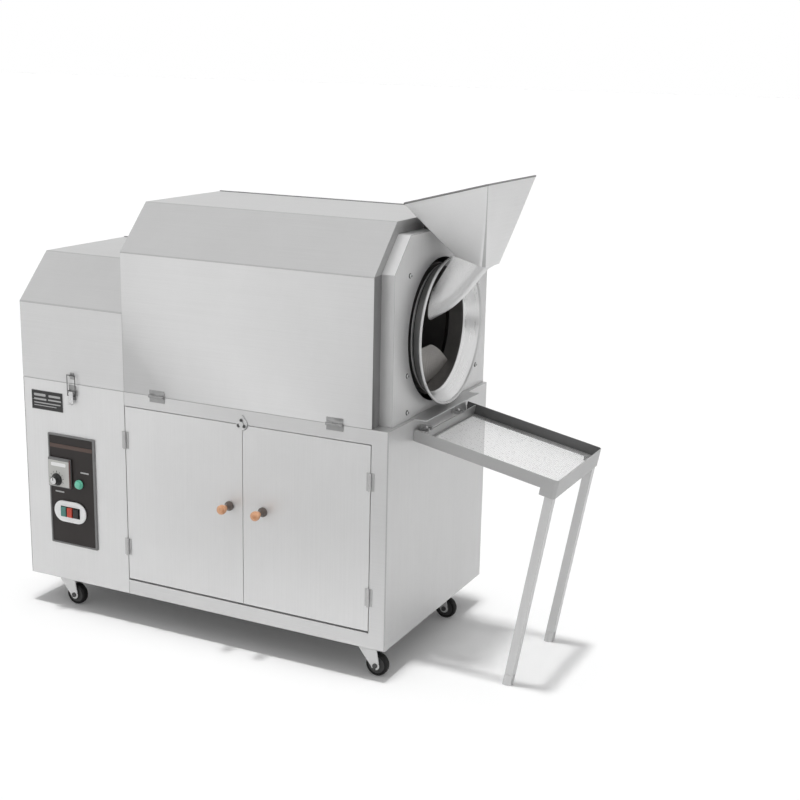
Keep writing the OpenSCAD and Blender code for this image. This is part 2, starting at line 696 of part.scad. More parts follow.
// U-shaped trough from the outlet into the mouth: one bent section for each station
function spout_point(s, f, t) = let (a = 180 * f / spout_steps, h = spout_low[s] - spout_rim[s],
        q = spout_rim[s] + h * (1 - t / norm(h)) * sin(a))
    [q[0], mid_y - (spout_w / 2 - t) * cos(a), deck_z + q[1]];
module feed_spout() color("silver") {
    last = len(spout_rim) - 1;
    points = [for (s = [0 : last]) each concat(
        [for (f = [0 : spout_steps]) spout_point(s, f, 0)],
        [for (f = [spout_steps : -1 : 0]) spout_point(s, f, hopper_t)])];
    skin = [for (s = [0 : last - 1], f = [0 : spout_n - 1])
        let (a = s * spout_n + f, b = s * spout_n + (f + 1) % spout_n)
        each [[a, b + spout_n, b], [a, a + spout_n, b + spout_n]]];
    ends = [for (f = [0 : spout_steps - 1]) let (g = spout_n - 1 - f, e = last * spout_n)
        each [[f, f + 1, g - 1], [f, g - 1, g], [e + f, e + g - 1, e + f + 1], [e + f, e + g, e + g - 1]]];
    polyhedron(points, concat(skin, ends));
}

// Lip over the upper end of the tray, with the two eyes that hold the tray's pins
module discharge_lip() color("silver") {
    block([plate_x + gap, tray_y0, deck_z], [cab_len + 36, tray_y0 + tray_w, deck_z + sheet]);
    for (y = hook_y) difference() {
        union() {
            bar_y(y - 5, y + 5, pivot_x, pivot_z, 8);
            block([cab_len, y - 5, pivot_z - 8], [pivot_x, y + 5, pivot_z + 8]);
        }
        bar_y(y - 6, y + 6, pivot_x, pivot_z, 4.06);
    }
}

// Puts a piece in the tray's own frame: X down the slope, Z = 0 at the top of the rails
module on_tray() translate([tray_x, tray_y0, tray_z]) rotate([0, tray_slope, 0]) children();
module tray_frame() color("silver") {
    difference() {
        on_tray() tray_rails();
        block([cab_len - 50, 0, deck_z - 100], [cab_len + 1, depth, deck_z]);
    }
    for (y = hook_y) {
        bar_y(y - 14, y + 14, pivot_x, pivot_z, 4);
        for (s = [y - 14, y + 6])
            block([pivot_x, s, pivot_z - 5], [tray_x + tray_back + 3, s + 8, pivot_z + 3]);
    }
}

// Plan of the tray with round lower corners, moved in by t, from x0 on
module tray_plan(x0, t) {
    r = tray_round;
    translate([x0, t]) square([tray_len - r - x0, tray_w - 2 * t]);
    translate([x0, r]) square([tray_len - t - x0, tray_w - 2 * r]);
    for (y = [r, tray_w - r]) translate([tray_len - r, y]) circle(r = r - t);
}

// The sides are folded channels. The lower end has a deeper skirt that wraps the leg heads
module tray_rails() {
    difference() {
        translate([0, 0, -rail_h]) linear_extrude(rail_h) tray_plan(0, 0);
        translate([0, 0, -rail_h + sheet]) linear_extrude(rail_h) tray_plan(-1, sheet);
        block([-1, 20, -rail_h - 1], [tray_len - 20, tray_w - 20, 1]);
    }
    translate([0, 0, -end_h]) linear_extrude(end_h - rail_h + sheet) difference() {
        tray_plan(tray_len - 40, 0);
        tray_plan(tray_len - 50, sheet);
    }
    block([tray_back, sheet / 2, -rail_h], [tray_back + 3, tray_w - sheet / 2, -3]);
}

// Perforated floor of the tray
module tray_mesh() color("silver") on_tray() difference() {
    translate([0, 0, -rail_h + sheet + gap]) linear_extrude(1.5)
        tray_plan(tray_back + 3.3, sheet + gap);
    px = (tray_len - tray_back - 50) / mesh_nx;
    py = (tray_w - 48) / mesh_ny;
    for (i = [0 : mesh_nx - 1], j = [0 : mesh_ny - 1])
        block([tray_back + 26 + i * px, 24 + j * py, -rail_h],
            [tray_back + 26 + (i + 1) * px - 4, 24 + (j + 1) * py - 4, 0]);
}

// Two leaning channel legs on round feet that are cut level at the floor
module tray_legs() color("gray") difference() {
    for (y = [tray_y0 + leg_in, tray_y0 + tray_w - leg - leg_in]) difference() {
        union() {
            translate([leg_x, y, leg_z]) rotate([0, leg_lean, 0])
                translate([0, 0, -leg_z - 40]) cube([leg, leg, leg_z + 40 - rail_h - 3 * gap]);
            translate([leg_x, y, leg_z]) rotate([0, leg_lean, 0])
                translate([leg / 2, leg / 2, -leg_z - 40]) cylinder(r = leg / 2 + 2.5, h = 62);
        }
        translate([leg_x, y, leg_z]) rotate([0, leg_lean, 0])
            translate([-3, 3, -leg_z + 40]) cube([leg, leg - 6, leg_z - 44 - rail_h]);
    }
    block([leg_x - 300, 0, -200], [leg_x + 100, depth, 0]);
}

module caster_fork(i) color("whitesmoke") translate([casters[i][0], casters[i][1], 0]) {
    top = caster_h - 3 - gap;
    translate([0, 0, top - 5]) cylinder(r = 26, h = 5);
    translate([0, 0, top - 9]) cylinder(r = 21, h = 5);
    for (s = [-1, 1]) along_y(s * (wheel_w / 2 + 3) - 1.5, s * (wheel_w / 2 + 3) + 1.5) {
        polygon([[-24, top - 12], [-24, top - 7], [26, top - 7], [26, top - 12],
            [trail + 11.4, wheel_r - 2], [trail - 11, wheel_r - 4]]);
        translate([trail, wheel_r]) circle(r = 12);
    }
    block([-24, -wheel_w / 2 - 4.5, top - 9], [26, wheel_w / 2 + 4.5, top - 7]);
    bar_y(-wheel_w / 2 - 8, wheel_w / 2 + 8, trail, wheel_r, 4);
    for (s = [-1, 1]) bar_y(s * (wheel_w / 2 + 6.5) - 2, s * (wheel_w / 2 + 6.5) + 2, trail, wheel_r, 6.5);
}

module caster_wheel(i) color("black") translate([casters[i][0] + trail, casters[i][1], wheel_r])
    rotate([90, 0, 0]) rotate_extrude() polygon([[4.05, -wheel_w / 2 + 0.5], [12, -wheel_w / 2 + 0.5],
        [14, -wheel_w / 2 + 3], [wheel_r - 8, -wheel_w / 2 + 3], [wheel_r - 6, -wheel_w / 2 + 0.5],
        [wheel_r - 3, -wheel_w / 2 + 0.5], [wheel_r, -wheel_w / 2 + 4], [wheel_r, wheel_w / 2 - 4],
        [wheel_r - 3, wheel_w / 2 - 0.5], [wheel_r - 6, wheel_w / 2 - 0.5],
        [wheel_r - 8, wheel_w / 2 - 3], [14, wheel_w / 2 - 3], [12, wheel_w / 2 - 0.5],
        [4.05, wheel_w / 2 - 0.5]]);

// A door is a shallow sheet tray; round the turn button its corner is cut away
module door(x0, x1) color("gainsboro") {
    z0 = door_z0 + door_gap;
    z1 = door_z1 - door_gap;
    difference() {
        block([x0, 0, z0], [x1, door_d, z1]);
        block([x0 + sheet, sheet, z0 + sheet], [x1 - sheet, door_d + 1, z1 - sheet]);
        bar_y(-1, door_d + 1, door_mid, turn_z, notch);
    }
}
module left_door() {
    door(drive_len + door_gap, door_mid - door_gap / 2);
    at_left_hinges() color("silver") hinge_moving(door_leaf, hinge_l);
}
module right_door() {
    door(door_mid + door_gap / 2, door_x1 - door_gap);
    at_right_hinges() color("silver") hinge_moving(door_leaf, hinge_l);
}

// A turned knob on a round base
module knob(x) translate([x, 0, knob_z]) rotate([90, 0, 0]) rotate_extrude()
    polygon([[0, 0], [12.5, 0], [12.5, 5], [9, 8], [7, 12], [7.5, 22], [10.5, 29], [12.5, 35],
        [12.5, knob_reach - 5], [9.5, knob_reach - 1], [5, knob_reach], [0, knob_reach]]);
module left_knob() color("peru") knob(door_mid - knob_in + 10);
module right_knob() color("peru") knob(door_mid + knob_in + 10);

// The hood is one bent sheet with a flange at the end box. Its other end closes over a fixed wall
module hood() color("lightgray") {
    translate([0, 0, seam]) along_x(hood_x0, hood_x1) strip(hood_shell, even(hood_shell, sheet));
    translate([0, 0, seam]) along_x(band_x0, hood_x1) strip(even(hood_shell, sheet / 2), band_in);
    at_hood_hinges() color("silver") hinge_moving(lid_leaf, hinge_l);
}

module drive_cover() color("gainsboro") {
    translate([0, 0, seam]) along_x(0, drive_len - gap) strip(cover_line, even(cover_line, sheet));
    translate([0, 0, seam]) along_x(0, sheet) polygon(even(cover_line, sheet / 2));
    at_cover_hinges() color("silver") hinge_moving(lid_leaf, hinge_l);
    block([latch_x - 6, -1.5, deck_z + 12], [latch_x + 6, 0, deck_z + 30]);
    block([latch_x - 6, -5, deck_z + 20], [latch_x + 6, -1, deck_z + 22]);
}

// Toggle latch: base with two ears, lever, and a wire bail that reaches the hook on the cover
module latch_base() color("silver") {
    block([latch_x - 12, -1.5, deck_z - 44], [latch_x + 12, 0, deck_z - 4]);
    for (s = [-1, 1]) block([latch_x + s * 10.5 - 1, -8.5, latch_z - 4],
        [latch_x + s * 10.5 + 1, -1, latch_z + 4]);
    bar_x(latch_x - 12, latch_x + 12, latch_y, latch_z, 1.5);
}
module latch_lever() color("silver") difference() {
    union() {
        block([latch_x - 7, latch_y - 3.5, latch_z - 32], [latch_x + 7, latch_y - 2, latch_z + 2]);
        for (s = [-1, 1]) block([latch_x + s * 6 - 1, latch_y - 3.5, bail_z - 3],
            [latch_x + s * 6 + 1, latch_y + 3, latch_z + 2]);
        block([latch_x - 7, latch_y - 9, latch_z - 33.5], [latch_x + 7, latch_y - 2, latch_z - 32]);
    }
    bar_x(latch_x - 15, latch_x + 15, latch_y, latch_z, 1.56);
    bar_x(latch_x - 15, latch_x + 15, latch_y, bail_z, 1.56);
}
module latch_bail() color("gray") {
    bar_x(latch_x - 13.5, latch_x + 13.5, latch_y, bail_z, 1.5);
    for (s = [-1, 1]) translate([latch_x + s * 13, latch_y - 0.4, bail_z - 0.7]) cylinder(r = 1, h = bail_h);
    bar_x(latch_x - 13.8, latch_x + 13.8, latch_y - 0.6, bail_z + bail_h - 1, 1.2);
}

module control_panel() color("black") {
    block([panel_x0, -4, panel_z0], [panel_x0 + panel_w, 0, panel_z0 + panel_h]);
    block([panel_x0 + 7, 0, panel_z0 + 7], [panel_x0 + panel_w - 7, 16, panel_z0 + panel_h - 7]);
}

module temperature_controller() color("ivory") difference() {
    block([ctrl[0] - 38, -10, ctrl[1] - 41], [ctrl[0] + 38, -4, ctrl[1] + 41]);
    bar_y(-11, -4, dial[0], dial[1], 3.05);
}

module controller_knob() color("black") {
    bar_y(-22, -10 - gap, dial[0], dial[1], 16);
    bar_y(-26, -21, dial[0], dial[1], 11);
    bar_y(-12, -4 - gap, dial[0], dial[1], 3);
    block([dial[0] - 1.5, -27, dial[1]], [dial[0] + 1.5, -25, dial[1] + 10]);
}

module pilot_lamp() color("seagreen") {
    bar_y(-8, -4, lamp[0], lamp[1], 14.5);
    bar_y(-14, -7, lamp[0], lamp[1], 11);
}

module switch_plate() color("white") difference() {
    along_y(-8, -4) {
        translate([plate_c[0] - 28, plate_c[1] - 32]) square([56, 64]);
        for (s = [-1, 1]) translate([plate_c[0] + s * 26, plate_c[1]]) circle(r = 32);
    }
    for (x = buttons)
        block([x - button_w / 2 - gap, -9, plate_c[1] - button_h / 2 - gap],
            [x + button_w / 2 + gap, -3, plate_c[1] + button_h / 2 + gap]);
}
module button(x) block([x - button_w / 2, -8 - press - 1.5, plate_c[1] - button_h / 2],
    [x + button_w / 2, -4 - press - gap, plate_c[1] + button_h / 2]);
module green_button() color("seagreen") button(buttons[0]);
module red_button() color("red") button(buttons[1]);
module black_button() color("black") button(buttons[2]);

module nameplate() color("darkgray") block([27, -1, 564], [135, 0, 619]);

module hinge_fixed_leaves() color("silver") {
    at_left_hinges() hinge_fixed(door_leaf, hinge_l);
    at_right_hinges() hinge_fixed(door_leaf, hinge_l);
    at_hood_hinges() hinge_fixed(lid_leaf, hinge_l);
    at_cover_hinges() hinge_fixed(lid_leaf, hinge_l);
}

module cable_gland() color("dimgray") difference() {
    union() {
        bar_y(depth - 12, depth + 5, gland_x, gland_z, 9.9);
        translate([gland_x, depth + 5, gland_z]) rotate([-90, 30, 0]) cylinder(r = 14, h = 8, $fn = 6);
        bar_y(depth, depth + 5.5, gland_x, gland_z, 13);
        bar_y(depth + 12, depth + gland_reach, gland_x, gland_z, 10);
        translate([gland_x, depth - 10, gland_z]) rotate([-90, 30, 0])
            cylinder(r = 14, h = 10 - sheet, $fn = 6);
    }
    bar_y(depth - 13, depth + gland_reach + 1, gland_x, gland_z, 5);
}

module end_plate_bolts() color("silver") for (b = bolt_places) {
    bar_x(plate_x, plate_x + 5, b[0], deck_z + b[1], 6.5);
}

set_down() frame();
set_down() floor_plate();
set_down() left_side_panel();
set_down() back_panel();
set_down() right_side_panel();
set_down() control_side_panel();
set_down() door_surround();
set_down() deck_plate();
set_down() partition_wall();
set_down() end_box();
set_down() heater_pan();
set_down() heating_elements();
set_down() shaft_bearing();
set_down() gearmotor();
set_down() drive_chain();
set_down() roller_brackets();
set_down() hopper();
set_down() feed_spout();
set_down() discharge_lip();
set_down() control_panel();
set_down() temperature_controller();
set_down() pilot_lamp();
set_down() switch_plate();
set_down() nameplate();
set_down() latch_base();
set_down() hinge_fixed_leaves();
set_down() cable_gland();
set_down() end_plate_bolts();
set_down() drum_shell();
set_down() drum_flights();
set_down() drum_shaft();
set_down() mouth_ring();
set_down() drum_sprocket();
set_down() motor_sprocket();
set_down() front_roller();
set_down() rear_roller();
set_down() left_door();
set_down() right_door();
set_down() left_knob();
set_down() right_knob();
set_down() turn_button();
set_down() hood();
set_down() drive_cover();
set_down() latch_lever();
set_down() latch_bail();
set_down() controller_knob();
set_down() green_button();
set_down() red_button();
set_down() black_button();
set_down() tray_frame();
set_down() tray_mesh();
set_down() tray_legs();
for (i = [0 : 3]) {
    set_down() caster_fork(i);
    set_down() caster_wheel(i);
}
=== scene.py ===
"""The looks of a nut roasting machine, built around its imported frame. Metres, +Z up."""
import json
import math
import bmesh
import bpy
from mathutils import Matrix, Vector


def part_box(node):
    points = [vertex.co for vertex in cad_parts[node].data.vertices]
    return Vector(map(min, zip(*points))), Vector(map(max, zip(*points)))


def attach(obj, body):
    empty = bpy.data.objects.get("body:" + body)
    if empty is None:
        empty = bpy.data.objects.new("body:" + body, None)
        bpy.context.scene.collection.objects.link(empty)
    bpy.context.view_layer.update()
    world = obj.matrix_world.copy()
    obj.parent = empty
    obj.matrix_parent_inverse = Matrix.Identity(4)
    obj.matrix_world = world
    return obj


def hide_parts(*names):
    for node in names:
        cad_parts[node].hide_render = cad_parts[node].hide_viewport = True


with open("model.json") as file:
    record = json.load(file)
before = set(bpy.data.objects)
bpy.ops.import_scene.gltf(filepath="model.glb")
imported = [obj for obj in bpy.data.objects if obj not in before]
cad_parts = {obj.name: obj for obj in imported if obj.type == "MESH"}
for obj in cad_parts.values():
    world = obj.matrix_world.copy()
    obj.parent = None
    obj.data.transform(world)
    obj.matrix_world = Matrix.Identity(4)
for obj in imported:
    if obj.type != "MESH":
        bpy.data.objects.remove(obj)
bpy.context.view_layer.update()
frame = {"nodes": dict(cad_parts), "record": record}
NODES = frame["nodes"]
BODY = {n: b for b, ns in frame["record"]["behaviour"]["bodies"].items() for n in ns}
MM = 0.001

# Shapes below are in millimetres from the cabinet's left front corner at the floor
HOME = Vector((*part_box("left_side_panel")[0].xy, 0.0))
CAB, DEPTH, DECK, DRIVE = 1114.0, 600.0, 650.0, 338.0
MID_Y, AXIS_Z = 300.0, 849.0
HOOD_X1, HOOD_FOLD, PLATE_X = 1068.5, 1016.0, 1103.0

# Camera, fitted to the photograph
CAM_PLACE = (2.4984, -2.7856, 1.5208)
CAM_YAW, CAM_PITCH, CAM_ROLL = math.radians(25.97), math.radians(-14.26), math.radians(-1.26)
CAM_FOCAL_PX = 1360.84
SENSOR = 36.0
PHOTO_PX = 800


def place_camera():
    data = bpy.data.cameras.new("camera")
    data.sensor_width = SENSOR
    data.sensor_fit = "HORIZONTAL"
    data.lens = CAM_FOCAL_PX / PHOTO_PX * SENSOR
    data.clip_start, data.clip_end = 0.05, 90.0
    cam = bpy.data.objects.new("camera", data)
    bpy.context.scene.collection.objects.link(cam)
    turn = (Matrix.Rotation(CAM_YAW, 4, "Z") @ Matrix.Rotation(CAM_PITCH, 4, "X")
            @ Matrix.Rotation(CAM_ROLL, 4, "Y"))
    look = Matrix.Rotation(math.radians(90), 4, "X")
    cam.matrix_world = Matrix.Translation(HOME + Vector(CAM_PLACE)) @ turn @ look
    bpy.context.scene.camera = cam


# Materials

class Shader:
    """A material under construction: a Principled shader and short ways to add nodes to it."""

    def __init__(self, name):
        self.mat = bpy.data.materials.new(name)
        self.mat.use_nodes = True
        self.tree = self.mat.node_tree
        self.out = self.tree.nodes["Principled BSDF"]
        self.place = self.add("ShaderNodeTexCoord").outputs["Object"]

    def add(self, kind, **values):
        node = self.tree.nodes.new(kind)
        for key, value in values.items():
            setattr(node, key, value)
        return node

    def link(self, source, target):
        self.tree.links.new(source, target)

    def set(self, **values):
        for key, value in values.items():
            self.out.inputs[key.replace("_", " ")].default_value = value

    def noise(self, scale, detail=4.0, rough=0.55):
        stretch = self.add("ShaderNodeMapping")
        stretch.inputs["Scale"].default_value = scale
        self.link(self.place, stretch.inputs["Vector"])
        tex = self.add("ShaderNodeTexNoise")
        tex.inputs["Scale"].default_value = 1.0
        tex.inputs["Detail"].default_value = detail
        tex.inputs["Roughness"].default_value = rough
        self.link(stretch.outputs["Vector"], tex.inputs["Vector"])
        return tex.outputs["Fac"]

    def span(self, source, low, high, start=0.3, end=0.7):
        tool = self.add("ShaderNodeMapRange")
        for key, value in (("From Min", start), ("From Max", end), ("To Min", low), ("To Max", high)):
            tool.inputs[key].default_value = value
        self.link(source, tool.inputs["Value"])
        return tool.outputs["Result"]

    def mix(self, factor, a, b, blend="MIX"):
        tool = self.add("ShaderNodeMix", data_type="RGBA", blend_type=blend)
        for key, value in ((0, factor), (6, a), (7, b)):
            if isinstance(value, bpy.types.NodeSocket):
                self.link(value, tool.inputs[key])
            elif key:
                tool.inputs[key].default_value = (*value, 1.0)
            else:
                tool.inputs[key].default_value = value
        return tool.outputs[2]

    def bump(self, height, distance, strength=1.0):
        tool = self.add("ShaderNodeBump")
        tool.inputs["Distance"].default_value = distance
        tool.inputs["Strength"].default_value = strength
        self.link(height, tool.inputs["Height"])
        self.link(tool.outputs["Normal"], self.out.inputs["Normal"])


def grey(value):
    return (value, value, value)


def shades(color, tone):
    return tuple(c * (1 - tone) for c in color), tuple(min(1.0, c * (1 + tone)) for c in color)


def brushed(name, color, rough, grain, metal=0.8, tone=0.03, depth=0.00001):
    """Sheet steel with fine brush lines. grain is the noise scale along each axis, low along the lines."""
    s = Shader(name)
    lines = s.noise(grain, detail=3.0)
    cloud = s.noise((2.2, 2.2, 2.2), detail=5.0, rough=0.6)
    smear = s.noise((11.0, 11.0, 7.0), detail=4.0, rough=0.65)
    base = s.mix(s.span(cloud, 0.0, 1.0), *shades(color, tone))
    streaked = s.mix(s.span(lines, 0.0, 0.5), base, shades(color, 0.07)[0])
    s.link(s.mix(s.span(smear, 0.0, 0.35, 0.45, 0.8), streaked, shades(color, 0.05)[1]), s.out.inputs["Base Color"])
    s.link(s.span(lines, rough - 0.05, rough + 0.06), s.out.inputs["Roughness"])
    s.set(Metallic=metal)
    s.bump(lines, depth, 0.2)
    return s.mat


def enamel(name, color, rough, tone=0.03, peel=0.00003, coat=0.0):
    """Painted or powder coated metal with slight orange peel."""
    s = Shader(name)
    cloud = s.noise((3.0, 3.0, 3.0), detail=4.0)
    fine = s.noise((700.0, 700.0, 700.0), detail=2.0)
    s.link(s.mix(s.span(cloud, 0.0, 1.0), *shades(color, tone)), s.out.inputs["Base Color"])
    s.link(s.span(fine, rough - 0.04, rough + 0.06), s.out.inputs["Roughness"])
    s.set(Coat_Weight=coat)
    s.bump(fine, peel, 0.2)
    return s.mat


def moulded(name, color, rough, speck=900.0, depth=0.00004, coat=0.0):
    """Moulded plastic or rubber with a fine skin."""
    s = Shader(name)
    fine = s.noise((speck, speck, speck), detail=2.0)
    cloud = s.noise((9.0, 9.0, 9.0), detail=3.0)
    dark = tuple(c * 0.9 for c in color)
    light = tuple(min(1.0, c * 1.08 + 0.003) for c in color)
    s.link(s.mix(s.span(cloud, 0.0, 1.0), dark, light), s.out.inputs["Base Color"])
    s.link(s.span(fine, rough - 0.06, rough + 0.08), s.out.inputs["Roughness"])
    s.set(Coat_Weight=coat, Specular_IOR_Level=0.35)
    s.bump(fine, depth, 0.3)
    return s.mat


def turned_wood(name):
    s = Shader(name)
    rings = s.noise((60.0, 260.0, 60.0), detail=4.0)
    pores = s.noise((900.0, 160.0, 900.0), detail=2.0)
    base = s.mix(s.span(rings, 0.0, 1.0), (0.50, 0.22, 0.10), (0.74, 0.42, 0.24))
    s.link(s.mix(s.span(pores, 0.0, 0.35, 0.5, 0.8), base, (0.2, 0.06, 0.025)), s.out.inputs["Base Color"])
    s.link(s.span(rings, 0.25, 0.4), s.out.inputs["Roughness"])
    s.set(Coat_Weight=0.5, Coat_Roughness=0.15)
    s.bump(pores, 0.00004, 0.3)
    return s.mat


def heat_dark(name, low, high):
    """Drum steel, browned by heat and polished by the load."""
    s = Shader(name)
    cloud = s.noise((7.0, 7.0, 7.0), detail=6.0, rough=0.65)
    fine = s.noise((90.0, 420.0, 420.0), detail=4.0)
    base = s.mix(s.span(cloud, 0.0, 1.0), (low, low * 0.97, low * 0.94), (high, high * 0.96, high * 0.92))
    s.link(base, s.out.inputs["Base Color"])
    s.link(s.span(fine, 0.38, 0.6), s.out.inputs["Roughness"])
    s.set(Metallic=0.75)
    s.bump(fine, 0.00006, 0.3)
    return s.mat


ALONG_X = (5.0, 900.0, 900.0)
ALONG_Y = (900.0, 5.0, 900.0)
ALONG_Z = (900.0, 900.0, 5.0)
EVEN = (120.0, 120.0, 120.0)


def make_materials():
    return {
        "panel_x": brushed("panel_x", grey(0.64), 0.42, ALONG_X, metal=0.55),
        "panel_z": brushed("panel_z", grey(0.70), 0.42, ALONG_Z, metal=0.55),
        # panel_slope is a darker copy of the lid steel for faces that look up: painted shade.
        "panel_slope": brushed("panel_slope", grey(0.52), 0.42, ALONG_X, metal=0.55),
        "side": brushed("side", grey(0.62), 0.42, ALONG_Z, metal=0.55),
        # line and rim_line are darker copies of the sheet steel for the bevels of folds and outlines: painted shade.
        "line": brushed("line", grey(0.44), 0.4, EVEN, metal=0.6),
        "rim_line": brushed("rim_line", grey(0.22), 0.4, EVEN, metal=0.6),
        "plain_x": brushed("plain_x", grey(0.60), 0.36, ALONG_X, metal=0.85),
        "plain_y": brushed("plain_y", grey(0.60), 0.36, ALONG_Y, metal=0.7),
        "plate": brushed("plate", grey(0.66), 0.42, ALONG_Z, metal=0.5),
        # strip is a darker copy of the plate steel for the end box's front faces and slope a lighter one for its
        # sloping tops: painted shade and painted light.
        "strip": brushed("strip", grey(0.58), 0.4, ALONG_Z, metal=0.6),
        "slope": brushed("slope", grey(0.70), 0.4, ALONG_Y, metal=0.6),
        # band and band_slope are dark copies of the sheet steel for the hood's end faces: painted shade.
        "band": brushed("band", grey(0.24), 0.42, ALONG_Z, metal=0.6),
        "band_slope": brushed("band_slope", grey(0.38), 0.42, ALONG_Y, metal=0.6),
        "polished": brushed("polished", grey(0.72), 0.3, (260.0, 9.0, 9.0), metal=0.9, tone=0.02, depth=0.000001),
        # neck and cone are darker copies of the mouth ring's steel: painted shade in the gap round the neck and a
        # painted dark reflection on the outer flare.
        "neck": brushed("neck", grey(0.05), 0.4, (400.0, 12.0, 12.0), metal=0.45),
        "ring": brushed("ring", grey(0.50), 0.4, (400.0, 12.0, 12.0), metal=0.5),
        "cone": brushed("cone", grey(0.22), 0.4, (400.0, 12.0, 12.0), metal=0.45),
        "bead": brushed("bead", grey(0.56), 0.3, (9.0, 9.0, 9.0), metal=0.8, depth=0.000001),
        "funnel": brushed("funnel", grey(0.76), 0.4, ALONG_Y, metal=0.4),
        "chute": brushed("chute", grey(0.62), 0.3, ALONG_X, metal=0.9),
        "leg": brushed("leg", grey(0.58), 0.4, ALONG_Z, metal=0.5),
        "machined": brushed("machined", grey(0.36), 0.36, (60.0, 60.0, 60.0), metal=0.95),
        "zinc": brushed("zinc", grey(0.62), 0.3, (80.0, 80.0, 80.0), metal=0.9),
        "dull_zinc": brushed("dull_zinc", grey(0.34), 0.4, (80.0, 80.0, 80.0), metal=0.8),
        "hinge": brushed("hinge", grey(0.50), 0.4, (80.0, 80.0, 80.0), metal=0.6),
        "dark_steel": brushed("dark_steel", grey(0.08), 0.4, (80.0, 80.0, 80.0), metal=0.7),
        "rail": brushed("rail", grey(0.42), 0.4, ALONG_X, metal=0.5),
        # A dark copy of the rail steel: painted shade.
        "rail_shade": brushed("rail_shade", grey(0.15), 0.4, ALONG_X, metal=0.6),
        "wire": brushed("wire", grey(0.75), 0.3, (200.0, 200.0, 200.0), metal=0.8),
        "fork": enamel("fork", grey(0.68), 0.35, coat=0.15),
        "tube": enamel("tube", grey(0.14), 0.45),
        "drum": heat_dark("drum", 0.11, 0.2),
        "flight": heat_dark("flight", 0.22, 0.33),
        "element": heat_dark("element", 0.10, 0.18),
        "cast": enamel("cast", (0.07, 0.11, 0.19), 0.42, coat=0.2),
        "black": moulded("black", grey(0.012), 0.35, coat=0.2),
        "panel_black": moulded("panel_black", (0.016, 0.012, 0.011), 0.4),
        "bezel": enamel("bezel", grey(0.17), 0.4),
        "maroon": enamel("maroon", (0.10, 0.035, 0.03), 0.35),
        "brown": enamel("brown", (0.075, 0.045, 0.036), 0.4),
        "cream": moulded("cream", (0.50, 0.50, 0.48), 0.35),
        "white": moulded("white", grey(0.80), 0.3, coat=0.2),
        "print": moulded("print", grey(0.42), 0.5),
        "green": moulded("green", (0.075, 0.22, 0.19), 0.3),
        "lens": moulded("lens", (0.14, 0.52, 0.37), 0.15, coat=0.5),
        "red": moulded("red", (0.50, 0.06, 0.035), 0.32),
        "tyre": moulded("tyre", grey(0.006), 0.75, speck=400.0),
        "hub": moulded("hub", grey(0.05), 0.45),
        "wood": turned_wood("wood"),
        "label": moulded("label", grey(0.03), 0.4),
        "knob_foot": enamel("knob_foot", (0.075, 0.055, 0.045), 0.3, coat=0.3),
    }


CAD_FINISH = {
    "frame": "tube", "floor_plate": "tube", "left_side_panel": "side", "back_panel": "panel_x",
    "right_side_panel": "side", "control_side_panel": "panel_z", "door_surround": "panel_x",
    "deck_plate": "plain_x", "partition_wall": "plain_y", "end_box": "plate", "heater_pan": "machined",
    "heating_elements": "element", "shaft_bearing": "cast", "gearmotor": "cast", "drive_chain": "machined",
    "roller_brackets": "machined", "hopper": "plain_y", "feed_spout": "plain_x", "discharge_lip": "plain_y",
    "control_panel": "panel_black", "temperature_controller": "cream", "pilot_lamp": "lens",
    "switch_plate": "white", "nameplate": "machined", "latch_base": "dull_zinc",
    "hinge_fixed_leaves": "dull_zinc", "cable_gland": "black", "end_plate_bolts": "zinc",
    "drum_shell": "drum", "drum_flights": "flight", "drum_shaft": "machined", "mouth_ring": "polished",
    "drum_sprocket": "machined", "motor_sprocket": "machined", "front_roller": "machined",
    "rear_roller": "machined", "left_door": "panel_z", "right_door": "panel_z", "left_knob": "wood",
    "right_knob": "wood", "turn_button": "zinc", "hood": "panel_x", "drive_cover": "panel_x",
    "latch_lever": "zinc", "latch_bail": "zinc", "controller_knob": "black", "green_button": "green",
    "red_button": "red", "black_button": "black", "tray_frame": "rail", "tray_mesh": "wire",
    "tray_legs": "rail",
}
for number in range(1, 5):
    CAD_FINISH[f"caster_{number}_fork"] = "fork"
    CAD_FINISH[f"caster_{number}_wheel"] = "tyre"


# Pieces

def set_material(obj, *mats):
    obj.data.materials.clear()
    for mat in mats:
        obj.data.materials.append(mat)


def smooth(obj, angle=35.0):
    for poly in obj.data.polygons:
        poly.use_smooth = True
    obj.data.set_sharp_from_angle(angle=math.radians(angle))


def stand_in(name, work, node, mats):
    """Makes a bmesh in metres the piece that stands for a CAD node."""
    mesh = bpy.data.meshes.new(name)
    work.to_mesh(mesh)
    work.free()
    obj = bpy.data.objects.new(name, mesh)
    bpy.context.scene.collection.objects.link(obj)
    for mat in mats:
        mesh.materials.append(MATS[mat])
    smooth(obj)
    even_shading(obj)
    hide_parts(node)
    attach(obj, BODY[node])
    return obj


def even_shading(obj):
    """Keeps wide flat faces flat beside their rounded edges."""
    tool = obj.modifiers.new("normals", "WEIGHTED_NORMAL")
    tool.keep_sharp = True
    tool.weight = 100
    graph = bpy.context.evaluated_depsgraph_get()
    mesh = bpy.data.meshes.new_from_object(obj.evaluated_get(graph))
    obj.modifiers.clear()
    obj.data = mesh


def bevel(work, edges, width, segments=2, material=-1):
    if edges:
        bmesh.ops.bevel(work, geom=edges, offset=width * MM, offset_type="OFFSET", segments=segments,
                        profile=0.5, affect="EDGES", clamp_overlap=True, material=material)


def corner_edges(work, least=25.0):
    """Convex edges sharper than an angle."""
    return [e for e in work.edges if len(e.link_faces) == 2 and e.is_convex
            and e.calc_face_angle(0.0) > math.radians(least)]


